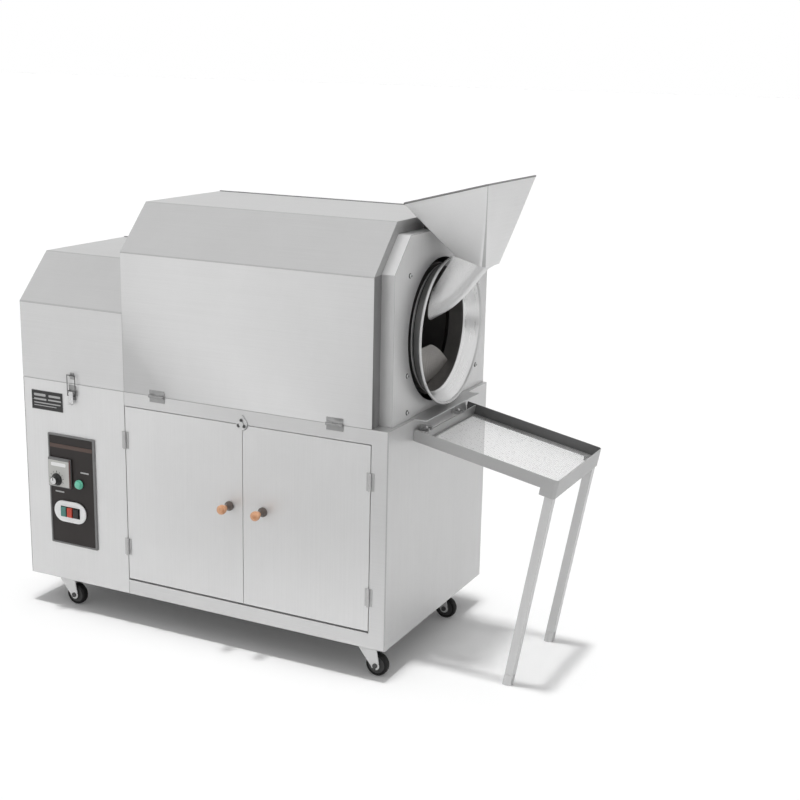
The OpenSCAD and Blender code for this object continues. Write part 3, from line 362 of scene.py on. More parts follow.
def fold_line(edge):
    """A bend of a lid: it runs along X, and its faces don't meet at a right angle."""
    a, b = edge.verts[0].co, edge.verts[1].co
    turn = math.degrees(edge.calc_face_angle(0.0))
    return abs((b - a).normalized().x) > 0.99 and (b - a).length > 0.2 and 20.0 < turn < 70.0


def outline(edge):
    """A long edge of a face that looks to the front or up."""
    if edge.calc_length() < 0.06:
        return False
    return any(f.normal.y < -0.6 or f.normal.z > 0.6 for f in edge.link_faces)


def soften(node, mats, width, edge=1.6, paint=None, shape=None, dark=lambda p: p.x < 1.2):
    """Stands in for a CAD node with the same shape, with rounded edges. mats is the finish, then the two
    darker ones laid on the bevels along its folds and outline as painted shade, then those that paint gives
    to faces. dark says where an outline takes the darker painted shade."""
    work = bmesh.new()
    work.from_mesh(NODES[node].data)
    bmesh.ops.remove_doubles(work, verts=work.verts, dist=0.000005)
    bmesh.ops.dissolve_limit(work, angle_limit=math.radians(0.4), verts=work.verts, edges=work.edges)
    if shape:
        shape(work)
    work.normal_update()
    for face in work.faces:
        face.material_index = 0
        if paint:
            middle = (face.calc_center_median() - HOME) / MM
            face.material_index = paint(middle, face.normal)
    # The fold and outline bevels take the darker line colours: painted shade.
    if edge:
        far = [e for e in corner_edges(work) if fold_line(e) and e.verts[0].co.y > 0.05]
        bevel(work, far, 3.0, 3, 2)
        near = [e for e in corner_edges(work, 30.0) if fold_line(e)]
        bevel(work, near, 2.6, 3, 1)
        rim = [e for e in corner_edges(work, 60.0) if outline(e)]
        outer = [e for e in rim if all(dark((v.co - HOME) / MM) for v in e.verts)]
        bevel(work, outer, edge, 2, 2)
        rim = [e for e in corner_edges(work, 60.0) if outline(e)]
        bevel(work, rim, edge, 2, 1)
    bevel(work, corner_edges(work, 50.0), width, 2)
    return stand_in(f"{node}_skin", work, node, mats)


AXES = {"x": (Vector((0, 1, 0)), Vector((0, 0, 1)), Vector((1, 0, 0))),
        "y": (Vector((1, 0, 0)), Vector((0, 0, 1)), Vector((0, 1, 0))),
        "z": (Vector((1, 0, 0)), Vector((0, 1, 0)), Vector((0, 0, 1)))}


class Piece:
    """A mesh under construction, in millimetres from the cabinet's corner."""

    def __init__(self):
        self.mesh = bmesh.new()

    def skin(self, rings, mats=0, ends=True, around=True):
        """Joins rings of points with faces. mats is one material, or one for each gap."""
        rows = [[self.mesh.verts.new(p) for p in ring] for ring in rings]
        pick = [mats] * (len(rows) - 1) if isinstance(mats, int) else mats
        for mat, a, b in zip(pick, rows, rows[1:]):
            for k in range(len(a) if around else len(a) - 1):
                j = (k + 1) % len(a)
                self.mesh.faces.new((a[k], a[j], b[j], b[k])).material_index = mat
        if ends:
            self.mesh.faces.new(rows[0][::-1]).material_index = pick[0]
            self.mesh.faces.new(rows[-1]).material_index = pick[-1]

    def lathe(self, centre, axis, profile, mats=0, steps=64, ends=True):
        """profile is a list of (radius, distance along the axis)."""
        u, v, w = AXES[axis]
        turn = [2 * math.pi * k / steps for k in range(steps)]
        self.skin([[Vector(centre) + w * d + (u * math.cos(a) + v * math.sin(a)) * r for a in turn]
                   for r, d in profile], mats, ends)

    def prism(self, shape, axis, a, b, mat=0):
        """A flat outline pushed along an axis from a to b."""
        u, v, w = AXES[axis]
        self.skin([[u * p[0] + v * p[1] + w * t for p in shape] for t in (a, b)], mat)

    def box(self, lo, hi, mat=0):
        self.prism([(lo[0], lo[1]), (hi[0], lo[1]), (hi[0], hi[1]), (lo[0], hi[1])], "z", lo[2], hi[2], mat)

    def done(self, node, mats, width=0.0, segments=2, name=None):
        bmesh.ops.remove_doubles(self.mesh, verts=self.mesh.verts, dist=0.002)
        bmesh.ops.recalc_face_normals(self.mesh, faces=self.mesh.faces)
        for vert in self.mesh.verts:
            vert.co = HOME + vert.co * MM
        self.mesh.normal_update()
        if width:
            bevel(self.mesh, corner_edges(self.mesh, 35.0), width, segments)
        return stand_in(name or f"{node}_shape", self.mesh, node, mats)


def rounded(x0, z0, x1, z1, r, steps=6):
    """A rectangle with round corners."""
    points = []
    for cx, cz, start in ((x1 - r, z1 - r, 0), (x0 + r, z1 - r, 90), (x0 + r, z0 + r, 180), (x1 - r, z0 + r, 270)):
        for k in range(steps + 1):
            a = math.radians(start + 90 * k / steps)
            points.append((cx + r * math.cos(a), cz + r * math.sin(a)))
    return points


def curve(points, steps=6):
    """A smooth line through points of any size."""
    out = []
    for i in range(len(points) - 1):
        p = [Vector(points[max(0, min(len(points) - 1, i + k))]) for k in (-1, 0, 1, 2)]
        for k in range(steps):
            t = k / steps
            out.append(0.5 * (2 * p[1] + (p[2] - p[0]) * t + (2 * p[0] - 5 * p[1] + 4 * p[2] - p[3]) * t * t
                              + (3 * p[1] - p[0] - 3 * p[2] + p[3]) * t ** 3))
    out.append(Vector(points[-1]))
    return out


# Sheet metal

def hood_paint(at, normal):
    if at.z < DECK + 18 and at.y < -0.2:
        return 3
    # The hood's end faces take band and band_slope, dark copies of its steel: painted shade.
    if abs(normal.x) > 0.9 and at.x > HOOD_X1 - 4:
        return 4 if at.z < HOOD_FOLD else 5
    # Faces that look up take panel_slope, a darker copy of the sheet: painted shade.
    return 6 if normal.z > 0.3 else 0


def cover_paint(at, normal):
    if at.z < DECK + 35 and at.y < -0.2 or at.y > DEPTH + 0.2:
        return 3
    # Faces that look up take panel_slope, a darker copy of the sheet: painted shade.
    return 4 if normal.z > 0.3 else 0


def box_paint(at, normal):
    # Faces take toned copies of the plate by the way they look: painted shade on the front, painted light on the
    # sloping tops.
    if normal.y < -0.9:
        return 3
    if abs(normal.x) < 0.3 and normal.z > 0.3:
        return 4
    return 0


def door_paint(at, normal):
    return 3 if at.y < -0.2 else 0


def split_band(work):
    """Parts the hood's end band where it turns from upright to sloping."""
    faces = [f for f in work.faces if f.normal.x > 0.9 and f.calc_center_median().x > HOME.x + (HOOD_X1 - 4) * MM]
    edges = {e for f in faces for e in f.edges}
    verts = {v for f in faces for v in f.verts}
    bmesh.ops.bisect_plane(work, geom=faces + list(edges) + list(verts), plane_co=(0, 0, (HOOD_FOLD + 2) * MM),
                           plane_no=(0, 0, 1))


def close_notch(work):
    """Draws the round notch of a door up to the turn button."""
    middle, old, new = Vector(((DRIVE + HOOD_X1 - 0.5) / 2, DECK - 36)), 21.5, 17.4
    for vert in work.verts:
        at = (vert.co - HOME) / MM
        off = Vector((at.x, at.z)) - middle
        if abs(off.length - old) > 0.25 or at.y < -0.5:
            continue
        if abs(off.y + 3.5) < 0.1:
            off.x = math.copysign(math.sqrt(new * new - off.y * off.y), off.x)
        elif abs(off.x) < 0.9:
            off.y = -math.sqrt(new * new - off.x * off.x)
        else:
            off = off.normalized() * new
        vert.co = HOME + Vector((middle.x + off.x, at.y, middle.y + off.y)) * MM


def tray_paint(at, normal):
    near, far = MID_Y - 164.5, MID_Y + 164.5
    # The far rail and the near rail's inner face take the dark copy of the rail steel: painted shade.
    if at.x > CAB + 30 and (at.y > far - 25 or abs(at.y - near) < 20 and normal.y > 0.8):
        return 3
    return 0


def sheet_metal():
    lines = ["line", "rim_line"]
    soften("hood", ["panel_x", *lines, "dull_zinc", "band", "band_slope", "panel_slope"], 0.5, paint=hood_paint,
           shape=split_band, dark=lambda p: p.x < DRIVE + 1 and p.z > DECK + 330)
    soften("drive_cover", ["panel_x", *lines, "dull_zinc", "panel_slope"], 0.5, paint=cover_paint)
    soften("left_door", ["panel_z", *lines, "hinge"], 0.4, paint=door_paint, shape=close_notch, edge=3.4,
           dark=lambda p: p.z < 130)
    soften("right_door", ["panel_z", *lines, "hinge"], 0.4, paint=door_paint, shape=close_notch, edge=3.4,
           dark=lambda p: p.z < 130)
    soften("door_surround", ["panel_x", *lines], 0.4, edge=0.9)
    soften("control_side_panel", ["panel_z", *lines], 0.4, edge=1.2)
    soften("left_side_panel", ["side", *lines], 0.5, edge=0.8)
    soften("right_side_panel", ["side", *lines], 0.5, edge=0.8)
    soften("back_panel", ["panel_x", *lines], 0.4, edge=0.0)
    soften("end_box", ["plate", *lines, "strip", "slope"], 0.6, edge=1.0, paint=box_paint)
    soften("discharge_lip", ["plain_y", *lines], 0.5, edge=0.0)
    soften("tray_frame", ["rail", *lines, "rail_shade"], 0.5, edge=0.0, paint=tray_paint)
    soften("tray_legs", ["leg", *lines], 2.2, edge=0.0)
    soften("hinge_fixed_leaves", ["dull_zinc", "line", "rim_line", "hinge"], 0.3, edge=0.0,
           paint=lambda at, normal: 3 if at.z < 600 else 0)


def hems():
    """The rear folds of both lids, closed over with a thin hem in the darkest line colour, painted shade along the
    fold.
    """
    for node, x0, x1, z in (("hood", DRIVE + 0.3, HOOD_X1, DECK + 485.6), ("drive_cover", 0.0, DRIVE - 0.3, DECK + 330.6)):
        piece = Piece()
        piece.lathe((0, 460.0, z - 0.6), "x", [(2.4, x0 + 0.2), (3.0, x0 + 1.0), (3.0, x1 - 1.0), (2.4, x1 - 0.2)], 0, 20)
        obj = piece.done(node, ["rim_line"], name=f"{node}_hem")


# Drum mouth, hopper and spout

def mouth():
    outer = [(163, 1097.2), (166.5, 1098.5), (167.5, 1101), (166.5, 1103.5), (168, 1108), (175, 1119), (182, 1130)]
    bead = [(186 + 3.4 * math.cos(a), 1136.5 + 3.4 * math.sin(a))
            for a in [math.radians(-100 + 26 * k) for k in range(11)]]
    inner = [(182.2, 1134), (176, 1124), (169, 1112.5), (163.4, 1103), (160.6, 1099), (160, 1097.2)]
    profile = [tuple(p) for p in curve(outer, 3)] + bead + [tuple(p) for p in curve(inner, 4)]
    split = len(curve(outer, 3))
    # The outside takes darker copies of the ring's steel: neck almost black, painted shade in the gap round it; cone
    # dark, a painted dark reflection on the flare.
    mats = [1] * 8 + [3] * 4 + [1] + [4] * (split - 14) + [2] * 12 + [0] * (len(profile) - split - 11)
    piece = Piece()
    piece.lathe((0, MID_Y, AXIS_Z), "x", profile + [profile[0]], mats, 128, ends=False)
    piece.done("mouth_ring", ["polished", "neck", "bead", "ring", "cone"])


RIM_X, RIM_LEN, RIM_W, RIM_LOW, RIM_HIGH = 1069.0, 217.0, 313.0, 526.0, 582.5
OUT_X0, OUT_X1, OUT_Z0, OUT_Z1, SPOUT_W = CAB + 40, CAB + 129, 397.0, 372.0, 108.0


def funnel_ring(t, inset):
    """One level of the hopper's wall, from rim 0 to outlet 1, with corners that open to the outlet."""
    a, b, w, s = RIM_X + inset, RIM_X + RIM_LEN - inset, RIM_W / 2 - inset, SPOUT_W / 2 - inset
    c, d = OUT_X0 + inset, OUT_X1 - inset
    rim = [(a, -w, RIM_LOW), (b, -w, RIM_HIGH), (b, w, RIM_HIGH), (a, w, RIM_LOW)]
    out = [(c, -s, OUT_Z0), (d, -s, OUT_Z1), (d, s, OUT_Z1), (c, s, OUT_Z0)]
    corners = [Vector((0, MID_Y, DECK)) + Vector(p).lerp(Vector(q), t) for p, q in zip(rim, out)]
    r = 4.0 + 16.0 * t * t
    ring = []
    for i in range(4):
        here = corners[i]
        u, v = (corners[i - 1] - here).normalized(), (corners[(i + 1) % 4] - here).normalized()
        for k in range(7):
            turn = math.radians(15 * k)
            ring.append(here + u * r * (1 - math.sin(turn)) + v * r * (1 - math.cos(turn)))
        following = corners[(i + 1) % 4]
        for k in range(1, 6):
            ring.append((here + v * r).lerp(following - v * r, k / 6))
    return ring


def hopper():
    levels = [k / 14 for k in range(15)]
    outer = [funnel_ring(t, 0.0) for t in levels]
    inner = [funnel_ring(t, 2.1) for t in levels]
    piece = Piece()
    piece.skin(outer + inner[::-1] + [outer[0]], [0] * 29, ends=False)
    piece.mesh.faces.ensure_lookup_table()
    around = len(outer[0])
    # Two corner folds of the wall take the line colours, the darker one along the silhouette: painted shade.
    for level in range(14):
        for k, mat in ((14, 3), (15, 3), (26, 1), (27, 1)):
            piece.mesh.faces[level * around + k].material_index = mat
    rim = funnel_ring(0.0, 1.2)
    bead = []
    for i, p in enumerate(rim):
        ahead = (rim[(i + 1) % len(rim)] - rim[i - 1]).normalized()
        side = ahead.cross(Vector((0, 0, 1))).normalized()
        up = side.cross(ahead)
        bead.append([p + (side * math.cos(a) + up * math.sin(a)) * 2.4 for a in
                     [math.radians(45 * k) for k in range(8)]])
    # The rolled rim takes the darkest line colour: painted shade along the edge.
    piece.skin(bead + [bead[0]], 1, ends=False)
    wall = (OUT_Z0 - RIM_LOW) / (OUT_X0 - RIM_X)
    foot, head = (DECK + RIM_LOW + wall * (x - RIM_X) - 0.6 for x in (PLATE_X - 3, PLATE_X - 20))
    top = DECK + 485 - 30
    for y in (MID_Y - 45, MID_Y + 42):
        piece.prism([(RIM_X + 4, top), (PLATE_X - 3, top), (PLATE_X - 3, foot), (PLATE_X - 20, head),
                     (RIM_X + 4, head)], "y", y, y + 3, 2)
    piece.done("hopper", ["funnel", "rim_line", "dark_steel", "line"])


SPOUT_RIM = [(OUT_X0 + 1, 396.1), (CAB + 36, 380), (CAB + 23, 359), (CAB + 6, 331), (CAB - 11, 304)]
SPOUT_LOW = [(OUT_X1 - 0.5, 371.2), (CAB + 107, 354), (CAB + 63, 298), (CAB + 21, 256), (CAB - 35, 219)]


def spout():
    rim, low = curve(SPOUT_RIM, 5), curve(SPOUT_LOW, 5)
    rings = []
    for p, q in zip(rim, low):
        drop = q - p
        ring = []
        for skin, order in ((0.0, range(33)), (1.5, range(32, -1, -1))):
            for f in order:
                a = math.pi * f / 32
                s = p + drop * (1 - skin / drop.length) * math.sin(a)
                ring.append((s.x, MID_Y - (SPOUT_W / 2 - skin) * math.cos(a), DECK + s.y))
        rings.append(ring)
    piece = Piece()
    piece.skin(rings)
    piece.done("feed_spout", ["chute"], 0.4)


def end_bolts():
    piece = Piece()
    for y, z in ((119, 358), (115, 113), (538, 300), (538, 60), (119, 20), (300, 440)):
        at = (PLATE_X, y, DECK + z)
        piece.lathe(at, "x", [(6.6, 0.0), (6.6, 1.0), (6.0, 1.3)], 1, 32)
        piece.lathe(at, "x", [(5.2, 1.2), (5.2, 4.0), (4.4, 4.8)], 0, 6)
        piece.lathe(at, "x", [(3.0, 4.7), (2.6, 5.0)], 1, 16)
    piece.done("end_plate_bolts", ["zinc", "dark_steel"], 0.25)


# Tray

TRAY_X, TRAY_Z, TRAY_LEN, TRAY_W, TRAY_SLOPE = CAB + 4, DECK - 24, 385.5, 329.0, math.radians(11.2)


def on_tray(p):
    """A point of the tray's own flat frame, in the machine's."""
    c, s = math.cos(TRAY_SLOPE), math.sin(TRAY_SLOPE)
    return Vector((TRAY_X + p[0] * c + p[2] * s, MID_Y - TRAY_W / 2 + p[1], TRAY_Z - p[0] * s + p[2] * c))


def tray_box(piece, lo, hi, mat=0):
    x0, y0, z0 = lo
    x1, y1, z1 = hi
    piece.skin([[on_tray((x, y, z)) for x, y in ((x0, y0), (x1, y0), (x1, y1), (x0, y1))] for z in (z0, z1)], mat)


def tray_floor():
    """A square mesh of fine wires, crossing over and under, in a flat border."""
    piece = Piece()
    x0, x1, y0, y1, z = 25.3, TRAY_LEN - 2.3, 2.3, TRAY_W - 2.3, -27.7
    for lo, hi in (((x0, y0), (x1 - 9, y0 + 7)), ((x0, y1 - 7), (x1 - 9, y1)), ((x0, y0), (x0 + 6, y1)),
                   ((x1 - 7, y0 + 9), (x1, y1 - 9))):
        tray_box(piece, (*lo, z), (*hi, z + 0.5), 1)
    across = int((x1 - x0) / 5.0)
    along = int((y1 - y0) / 5.0)
    for i in range(1, across):
        x = x0 + (x1 - x0) * i / across
        tray_box(piece, (x - 0.3, y0 + 2, z + 0.6), (x + 0.3, y1 - 2, z + 1.15))
    for j in range(1, along):
        y = y0 + (y1 - y0) * j / along
        tray_box(piece, (x0 + 1, y - 0.3, z + 0.1), (x1 - 1, y + 0.3, z + 0.65))
    piece.done("tray_mesh", ["wire", "rail"])


# Controls

def lines_of(piece, rows, y, mat):
    for x0, x1, z0, z1 in rows:
        piece.prism(rounded(x0, z0, x1, z1, min(x1 - x0, z1 - z0) * 0.3, 2), "y", y - 0.3, y + 0.3, mat)


def control_panel():
    piece = Piece()
    outer, inner = rounded(79, 190, 237, 504, 3), rounded(84, 195, 230, 499, 2)
    rings = [[(x, y, z) for x, z in shape] for shape, y in
             ((outer, 0.0), (outer, -3.2), (rounded(79.8, 190.8, 236.2, 503.2, 2.4), -4.0), (inner, -4.0), (inner, -2.2))]
    piece.skin(rings, [1, 1, 1, 1])
    piece.prism(rounded(84.2, 195.2, 229.8, 498.8, 2), "y", -2.4, -1.0, 0)
    piece.box((86, 0, 197), (230, 16, 497), 0)
    piece.prism(rounded(85, 465, 228.5, 476, 1), "y", -3.6, -2.2, 2)
    piece.prism(rounded(85, 479, 228.5, 498, 1), "y", -3.0, -2.2, 0)
    lines_of(piece, [(186, 214, 403, 407)], -2.6, 4)
    lines_of(piece, [(98, 128, 338, 342)], -2.6, 4)
    piece.done("control_panel", ["panel_black", "bezel", "brown", "white", "print"], 0.3)


def controller():
    piece = Piece()
    piece.prism(rounded(81, 355, 157, 437, 3), "y", -8.6, -4.0, 1)
    piece.prism(rounded(82.5, 357, 152, 430, 2), "y", -9.6, -8.6, 0)
    piece.prism(rounded(152.6, 356.5, 156.6, 436, 1), "y", -9.4, -8.6, 2)
    piece.prism(rounded(83, 431, 152, 436, 1), "y", -9.2, -8.6, 1)
    piece.lathe((110, 0, 376), "y", [(17.6, -9.9), (17.6, -9.5)], 3, 48)
    for k in range(11):
        turn = math.radians(-45 + 27 * k)
        c, s = math.cos(turn), math.sin(turn)
        wide = 0.9 if k % 5 == 0 else 0.5
        shape = [(110 + r * c - w * s, 376 + r * s + w * c) for r, w in ((19.5, -wide), (25, -wide), (25, wide), (19.5, wide))]
        if all(83 < x < 151 and 358 < z for x, z in shape):
            piece.prism(shape, "y", -9.9, -9.5, 3)
    lines_of(piece, [(92, 142, 414, 424)], -9.7, 4)
    piece.done("temperature_controller", ["cream", "bezel", "maroon", "black", "white"], 0.25)


def controller_knob():
    piece = Piece()
    skirt = [(3.0, -4.3), (3.0, -10.3), (15.6, -10.3), (16.0, -11.2), (15.6, -14.0), (12.6, -16.0)]
    body = [(12.0, -18.0), (11.6, -24.4), (10.6, -25.6)]
    piece.lathe((110, 0, 376), "y", skirt + body, 0, 64)
    piece.lathe((110, 0, 376), "y", [(9.8, -25.4), (9.6, -26.0), (8.8, -26.3)], 1, 48)
    piece.box((109, -26.9, 377), (111, -26.2, 385), 2)
    piece.done("controller_knob", ["black", "zinc", "black"], 0.3)


def pilot_lamp():
    piece = Piece()
    piece.lathe((182, 0, 371), "y", [(13.2, -4.0), (13.2, -6.6), (12.6, -7.8), (10.8, -8.2), (10.4, -7.4)], 1, 64)
    dome = [(10.2, -7.5), (10.2, -10.5), (9.4, -12.4), (7.4, -13.5), (4.6, -13.9), (1.0, -14.0)]
    piece.lathe((182, 0, 371), "y", dome, 0, 64)
    piece.done("pilot_lamp", ["lens", "lens"])


def switch_plate():
    def stadium(inset):
        points = []
        for side, start in ((24, -38), (-24, 142)):
            reach = math.degrees(math.asin(1.0))
            for k in range(17):
                a = math.radians((start + 38) - reach + 180 * k / 16)
                points.append((149 + side + (30 - inset) * math.cos(a), 287 + (30 - inset) * math.sin(a)))
        return points
    def window(inset):
        """The opening that the buttons stand in, with a point for each of the outline's."""
        points = []
        for x, z in stadium(0.0):
            u, v = x - 149, z - 287
            reach = min((32.5 - inset) / max(abs(u), 0.01), (15.2 - inset) / max(abs(v), 0.01))
            points.append((151 + u * reach, 287 + v * reach))
        return points
    piece = Piece()
    rings = [[(x, y, z) for x, z in stadium(inset)] for y, inset in ((-4.0, 0.0), (-6.8, 0.0), (-7.6, 0.8), (-8.0, 2.0))]
    rings += [[(x, y, z) for x, z in window(inset)] for y, inset in ((-8.0, 0.0), (-7.8, 0.5), (-4.2, 0.6))]
    piece.skin(rings, [0, 0, 0, 0, 1, 1])
    piece.done("switch_plate", ["white", "panel_black"])


def push_buttons():
    for node, x, finish in (("green_button", 130, "green"), ("red_button", 151, "red"), ("black_button", 172, "black")):
        piece = Piece()
        rings = [[(px, y, pz) for px, pz in rounded(x - 8.5 + i, 274 + i, x + 8.5 - i, 300 - i, 1.6)]
                 for y, i in ((-8.3, 0.0), (-12.6, 0.0), (-13.3, 0.6), (-13.5, 1.8), (-13.1, 4.5))]
        piece.skin(rings, 0)
        piece.done(node, [finish])


def nameplate():
    piece = Piece()
    piece.prism(rounded(27, 564, 135, 619, 2), "y", -0.8, 0.0, 1)
    piece.prism(rounded(28.2, 565.2, 133.8, 617.8, 1.5), "y", -1.0, -0.8, 0)
    lines_of(piece, [(36, 76, 602, 609), (86, 126, 602, 608), (36, 78, 591, 596), (84, 128, 592, 596),
                     (36, 126, 582, 585), (36, 112, 575, 577)], -0.9, 2)
    for x in (31.5, 130.5):
        piece.lathe((x, 0, 591.5), "y", [(1.6, -0.8), (1.6, -1.0), (1.0, -1.0)], 1, 12)
    piece.done("nameplate", ["label", "zinc", "print"])


def door_knobs():
    foot = [(12.5, 0.0), (12.5, -4.0), (11.6, -5.6), (8.6, -8.4), (7.0, -12.0), (7.1, -17.0), (7.6, -22.0)]
    head = [(7.9, -22.0), (9.0, -25.6), (11.0, -29.4), (12.3, -33.5), (12.5, -38.0), (11.9, -41.6),
            (9.8, -44.4), (6.5, -45.7), (2.0, -46.0)]
    for node, x in (("left_knob", 663.0), ("right_knob", 763.0)):
        low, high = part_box(node)
        x = ((low.x + high.x) / 2 - HOME.x) / MM
        piece = Piece()
        piece.lathe((x, 0, 391), "y", [tuple(p) for p in curve(foot, 3)], 1, 64)
        piece.lathe((x, 0, 391), "y", [tuple(p) for p in curve(head, 3)], 0, 64)
        piece.done(node, ["wood", "knob_foot"])


def small_metal():
    soften("turn_button", ["zinc", "line", "rim_line", "dark_steel"], 0.5, edge=0.0,
           paint=lambda at, normal: 3 if normal.y < -0.9 and -5.6 < at.y < -5.0 else 0)
    soften("latch_base", ["dull_zinc", "line", "rim_line"], 0.3, edge=0.0)
    soften("latch_lever", ["zinc", "line", "rim_line"], 0.4, edge=0.0)
    soften("latch_bail", ["dark_steel", "line", "rim_line"], 0.2, edge=0.0)
    soften("cable_gland", ["black", "line", "rim_line"], 0.5, edge=0.0)


# Casters

def casters():
    for number in range(1, 5):
        fork, wheel = f"caster_{number}_fork", f"caster_{number}_wheel"
        soften(fork, ["fork", "line", "rim_line", "dark_steel"], 0.7, edge=0.0, paint=fork_paint)
        low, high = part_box(wheel)
        middle = ((low + high) / 2 - HOME) / MM
        half, r = 11.0, (high.z - low.z) / 2 / MM
        side = [(4.1, half - 0.6), (11.0, half - 0.6), (12.2, half - 1.4), (13.0, half - 3.0), (r - 9.0, half - 3.4),
                (r - 7.6, half - 2.6), (r - 6.8, half - 0.9), (r - 4.6, half - 0.6), (r - 2.4, half - 1.4),
                (r - 0.8, half - 3.4), (r, half - 6.6)]
        tyre = [(r, d) for d in (2.2, -2.2)]
        profile = side + tyre + [(p, -d) for p, d in side[::-1]]
        mats = [1 if max(profile[k][0], profile[k + 1][0]) < r - 7.0 else 0 for k in range(len(profile) - 1)] + [1]
        piece = Piece()
        piece.lathe(middle, "y", profile + [profile[0]], mats, 72, ends=False)
        piece.done(wheel, ["tyre", "hub"])


def fork_paint(at, normal):
    low, high = FORK_AXLES[min(range(4), key=lambda k: (FORK_AXLES[k][0] - at.xy).length)]
    return 3 if at.z < 46 and (at.xy - low).length > high else 0


FORK_AXLES = []
for number in range(1, 5):
    low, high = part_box(f"caster_{number}_wheel")
    FORK_AXLES.append((Vector((((low + high) / 2 - HOME) / MM).xy), 15.6))


# Stage

def make_stage():
    scene = bpy.context.scene
    scene.view_settings.view_transform = "Standard"
    world = bpy.data.worlds.new("studio")
    scene.world = world
    world.use_nodes = True
    tree = world.node_tree
    tree.nodes.clear()
    out = tree.nodes.new("ShaderNodeOutputWorld")
    blend = tree.nodes.new("ShaderNodeMixShader")
    soft = tree.nodes.new("ShaderNodeBackground")
    seen = tree.nodes.new("ShaderNodeBackground")
    soft.inputs["Strength"].default_value = 1.0
    seen.inputs["Strength"].default_value = 1.0
    tree.links.new(seen_ray(tree), blend.inputs["Fac"])
    tree.links.new(soft.outputs[0], blend.inputs[1])
    tree.links.new(seen.outputs[0], blend.inputs[2])
    tree.links.new(blend.outputs[0], out.inputs["Surface"])
    seen.inputs["Color"].default_value = (1, 1, 1, 1)
    light_from_above(tree, soft)
    floor = make_floor()
    sun("overhead", (0.0, -0.03, 1.0), 1.65, 5.0)
    sun("front", (-0.5, -1.0, 0.5), 0.65, 35.0, floor)
    sun("right", (1.0, -0.3, 0.1), 0.28, 35.0, floor)
    flag("floor_flag", (-0.3, -1.7, 0.02), (-0.3, -1.7, 2.0), 1.1, 1.7, 0.45)
    flag("drum_flag", (2.5, -2.6, 0.4), (0.38, 0.15, 0.85), 1.3, 1.3, 0.12)
    flag("right_flag", (2.3, 3.8, 0.9), (0.4, 0.0, 0.5), 3.2, 3.2, 0.62)


def light_from_above(tree, background):
    """The room's light grows from the horizon to the ceiling."""
    place = tree.nodes.new("ShaderNodeTexCoord")
    split = tree.nodes.new("ShaderNodeSeparateXYZ")
    tone = tree.nodes.new("ShaderNodeMapRange")
    for key, value in (("From Min", 0.0), ("From Max", 1.0), ("To Min", 0.18), ("To Max", 0.62)):
        tone.inputs[key].default_value = value
    tree.links.new(place.outputs["Generated"], split.inputs[0])
    tree.links.new(split.outputs["Z"], tone.inputs["Value"])
    tree.links.new(tone.outputs["Result"], background.inputs["Color"])


def seen_ray(tree):
    """1 for camera, glossy and transmission rays, which see the white background."""
    path = tree.nodes.new("ShaderNodeLightPath")
    both = tree.nodes.new("ShaderNodeMath")
    both.operation = "MAXIMUM"
    three = tree.nodes.new("ShaderNodeMath")
    three.operation = "MAXIMUM"
    tree.links.new(path.outputs["Is Camera Ray"], both.inputs[0])
    tree.links.new(path.outputs["Is Glossy Ray"], both.inputs[1])
    tree.links.new(both.outputs[0], three.inputs[0])
    tree.links.new(path.outputs["Is Transmission Ray"], three.inputs[1])
    return three.outputs[0]


FLOOR_HALF = 60.0


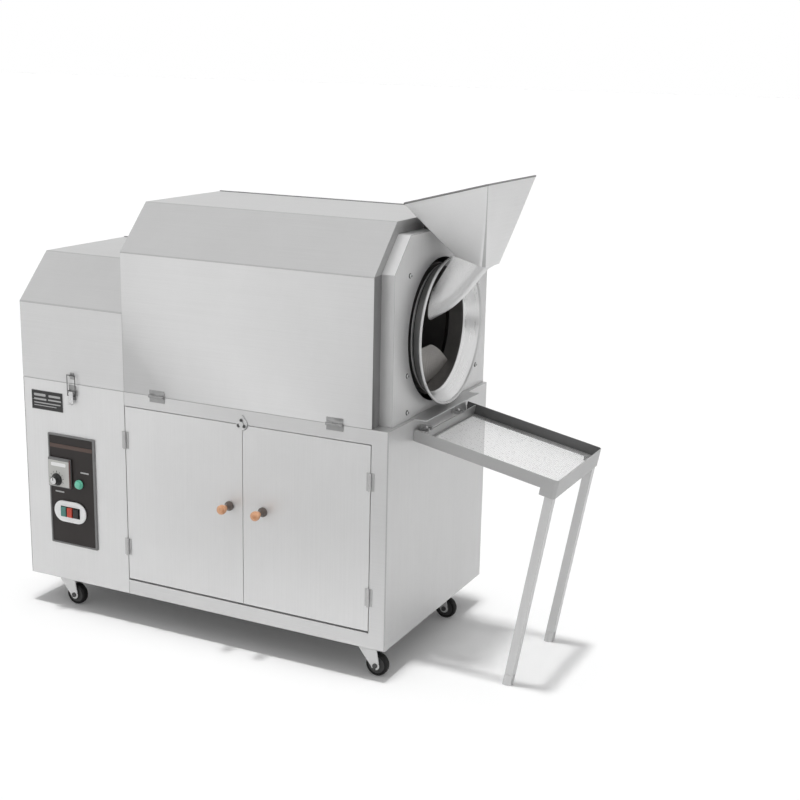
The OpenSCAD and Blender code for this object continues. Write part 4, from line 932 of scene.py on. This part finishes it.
def make_floor():
    mesh = bpy.data.meshes.new("floor")
    h = FLOOR_HALF
    mesh.from_pydata([(-h, -h, 0), (h, -h, 0), (h, h, 0), (-h, h, 0)], [], [(0, 1, 2, 3)])
    floor = bpy.data.objects.new("floor", mesh)
    bpy.context.scene.collection.objects.link(floor)
    mat = bpy.data.materials.new("floor")
    mat.use_nodes = True
    tree = mat.node_tree
    tree.nodes.clear()
    out = tree.nodes.new("ShaderNodeOutputMaterial")
    add = tree.nodes.new("ShaderNodeAddShader")
    matt = tree.nodes.new("ShaderNodeBsdfDiffuse")
    glow = tree.nodes.new("ShaderNodeEmission")
    level = tree.nodes.new("ShaderNodeMath")
    level.operation = "MULTIPLY"
    level.inputs[1].default_value = 0.055
    matt.inputs["Color"].default_value = (0.97, 0.97, 0.97, 1)
    tree.links.new(seen_ray(tree), level.inputs[0])
    tree.links.new(level.outputs[0], glow.inputs["Strength"])
    tree.links.new(matt.outputs[0], add.inputs[0])
    tree.links.new(glow.outputs[0], add.inputs[1])
    tree.links.new(add.outputs[0], out.inputs["Surface"])
    mesh.materials.append(mat)
    return floor


def sun(name, towards, strength, angle, spare=None):
    """A sun that doesn't glare in metal. What it spares stays unlit by it, so the shadow stays whole."""
    data = bpy.data.lights.new(name, "SUN")
    data.energy = strength
    data.angle = math.radians(angle)
    obj = bpy.data.objects.new(name, data)
    bpy.context.scene.collection.objects.link(obj)
    obj.rotation_euler = Vector(towards).to_track_quat("Z", "Y").to_euler()
    obj.visible_glossy = False
    if spare:
        group = bpy.data.collections.new(f"{name}_spares")
        group.objects.link(spare)
        obj.light_linking.receiver_collection = group
        group.collection_objects[0].light_linking.link_state = "EXCLUDE"


def flag(name, place, aim, width, height, level):
    """A grey card that only reflections see, as photographers stand beside bright metal."""
    mesh = bpy.data.meshes.new(name)
    w, h = width / 2, height / 2
    mesh.from_pydata([(-w, -h, 0), (w, -h, 0), (w, h, 0), (-w, h, 0)], [], [(0, 1, 2, 3)])
    card = bpy.data.objects.new(name, mesh)
    bpy.context.scene.collection.objects.link(card)
    card.location = place
    card.rotation_euler = (Vector(aim) - Vector(place)).to_track_quat("Z", "Y").to_euler()
    for ray in ("camera", "diffuse", "transmission", "shadow", "volume_scatter"):
        setattr(card, f"visible_{ray}", False)
    mat = bpy.data.materials.new(name)
    mat.use_nodes = True
    tree = mat.node_tree
    tree.nodes.clear()
    out = tree.nodes.new("ShaderNodeOutputMaterial")
    glow = tree.nodes.new("ShaderNodeEmission")
    glow.inputs["Strength"].default_value = level
    tree.links.new(glow.outputs[0], out.inputs["Surface"])
    mesh.materials.append(mat)


place_camera()
MATS = make_materials()
for node, finish in CAD_FINISH.items():
    set_material(NODES[node], MATS[finish])
    smooth(NODES[node])
sheet_metal()
hems()
mouth()
hopper()
spout()
end_bolts()
tray_floor()
control_panel()
controller()
controller_knob()
pilot_lamp()
switch_plate()
push_buttons()
nameplate()
door_knobs()
small_metal()
casters()
make_stage()
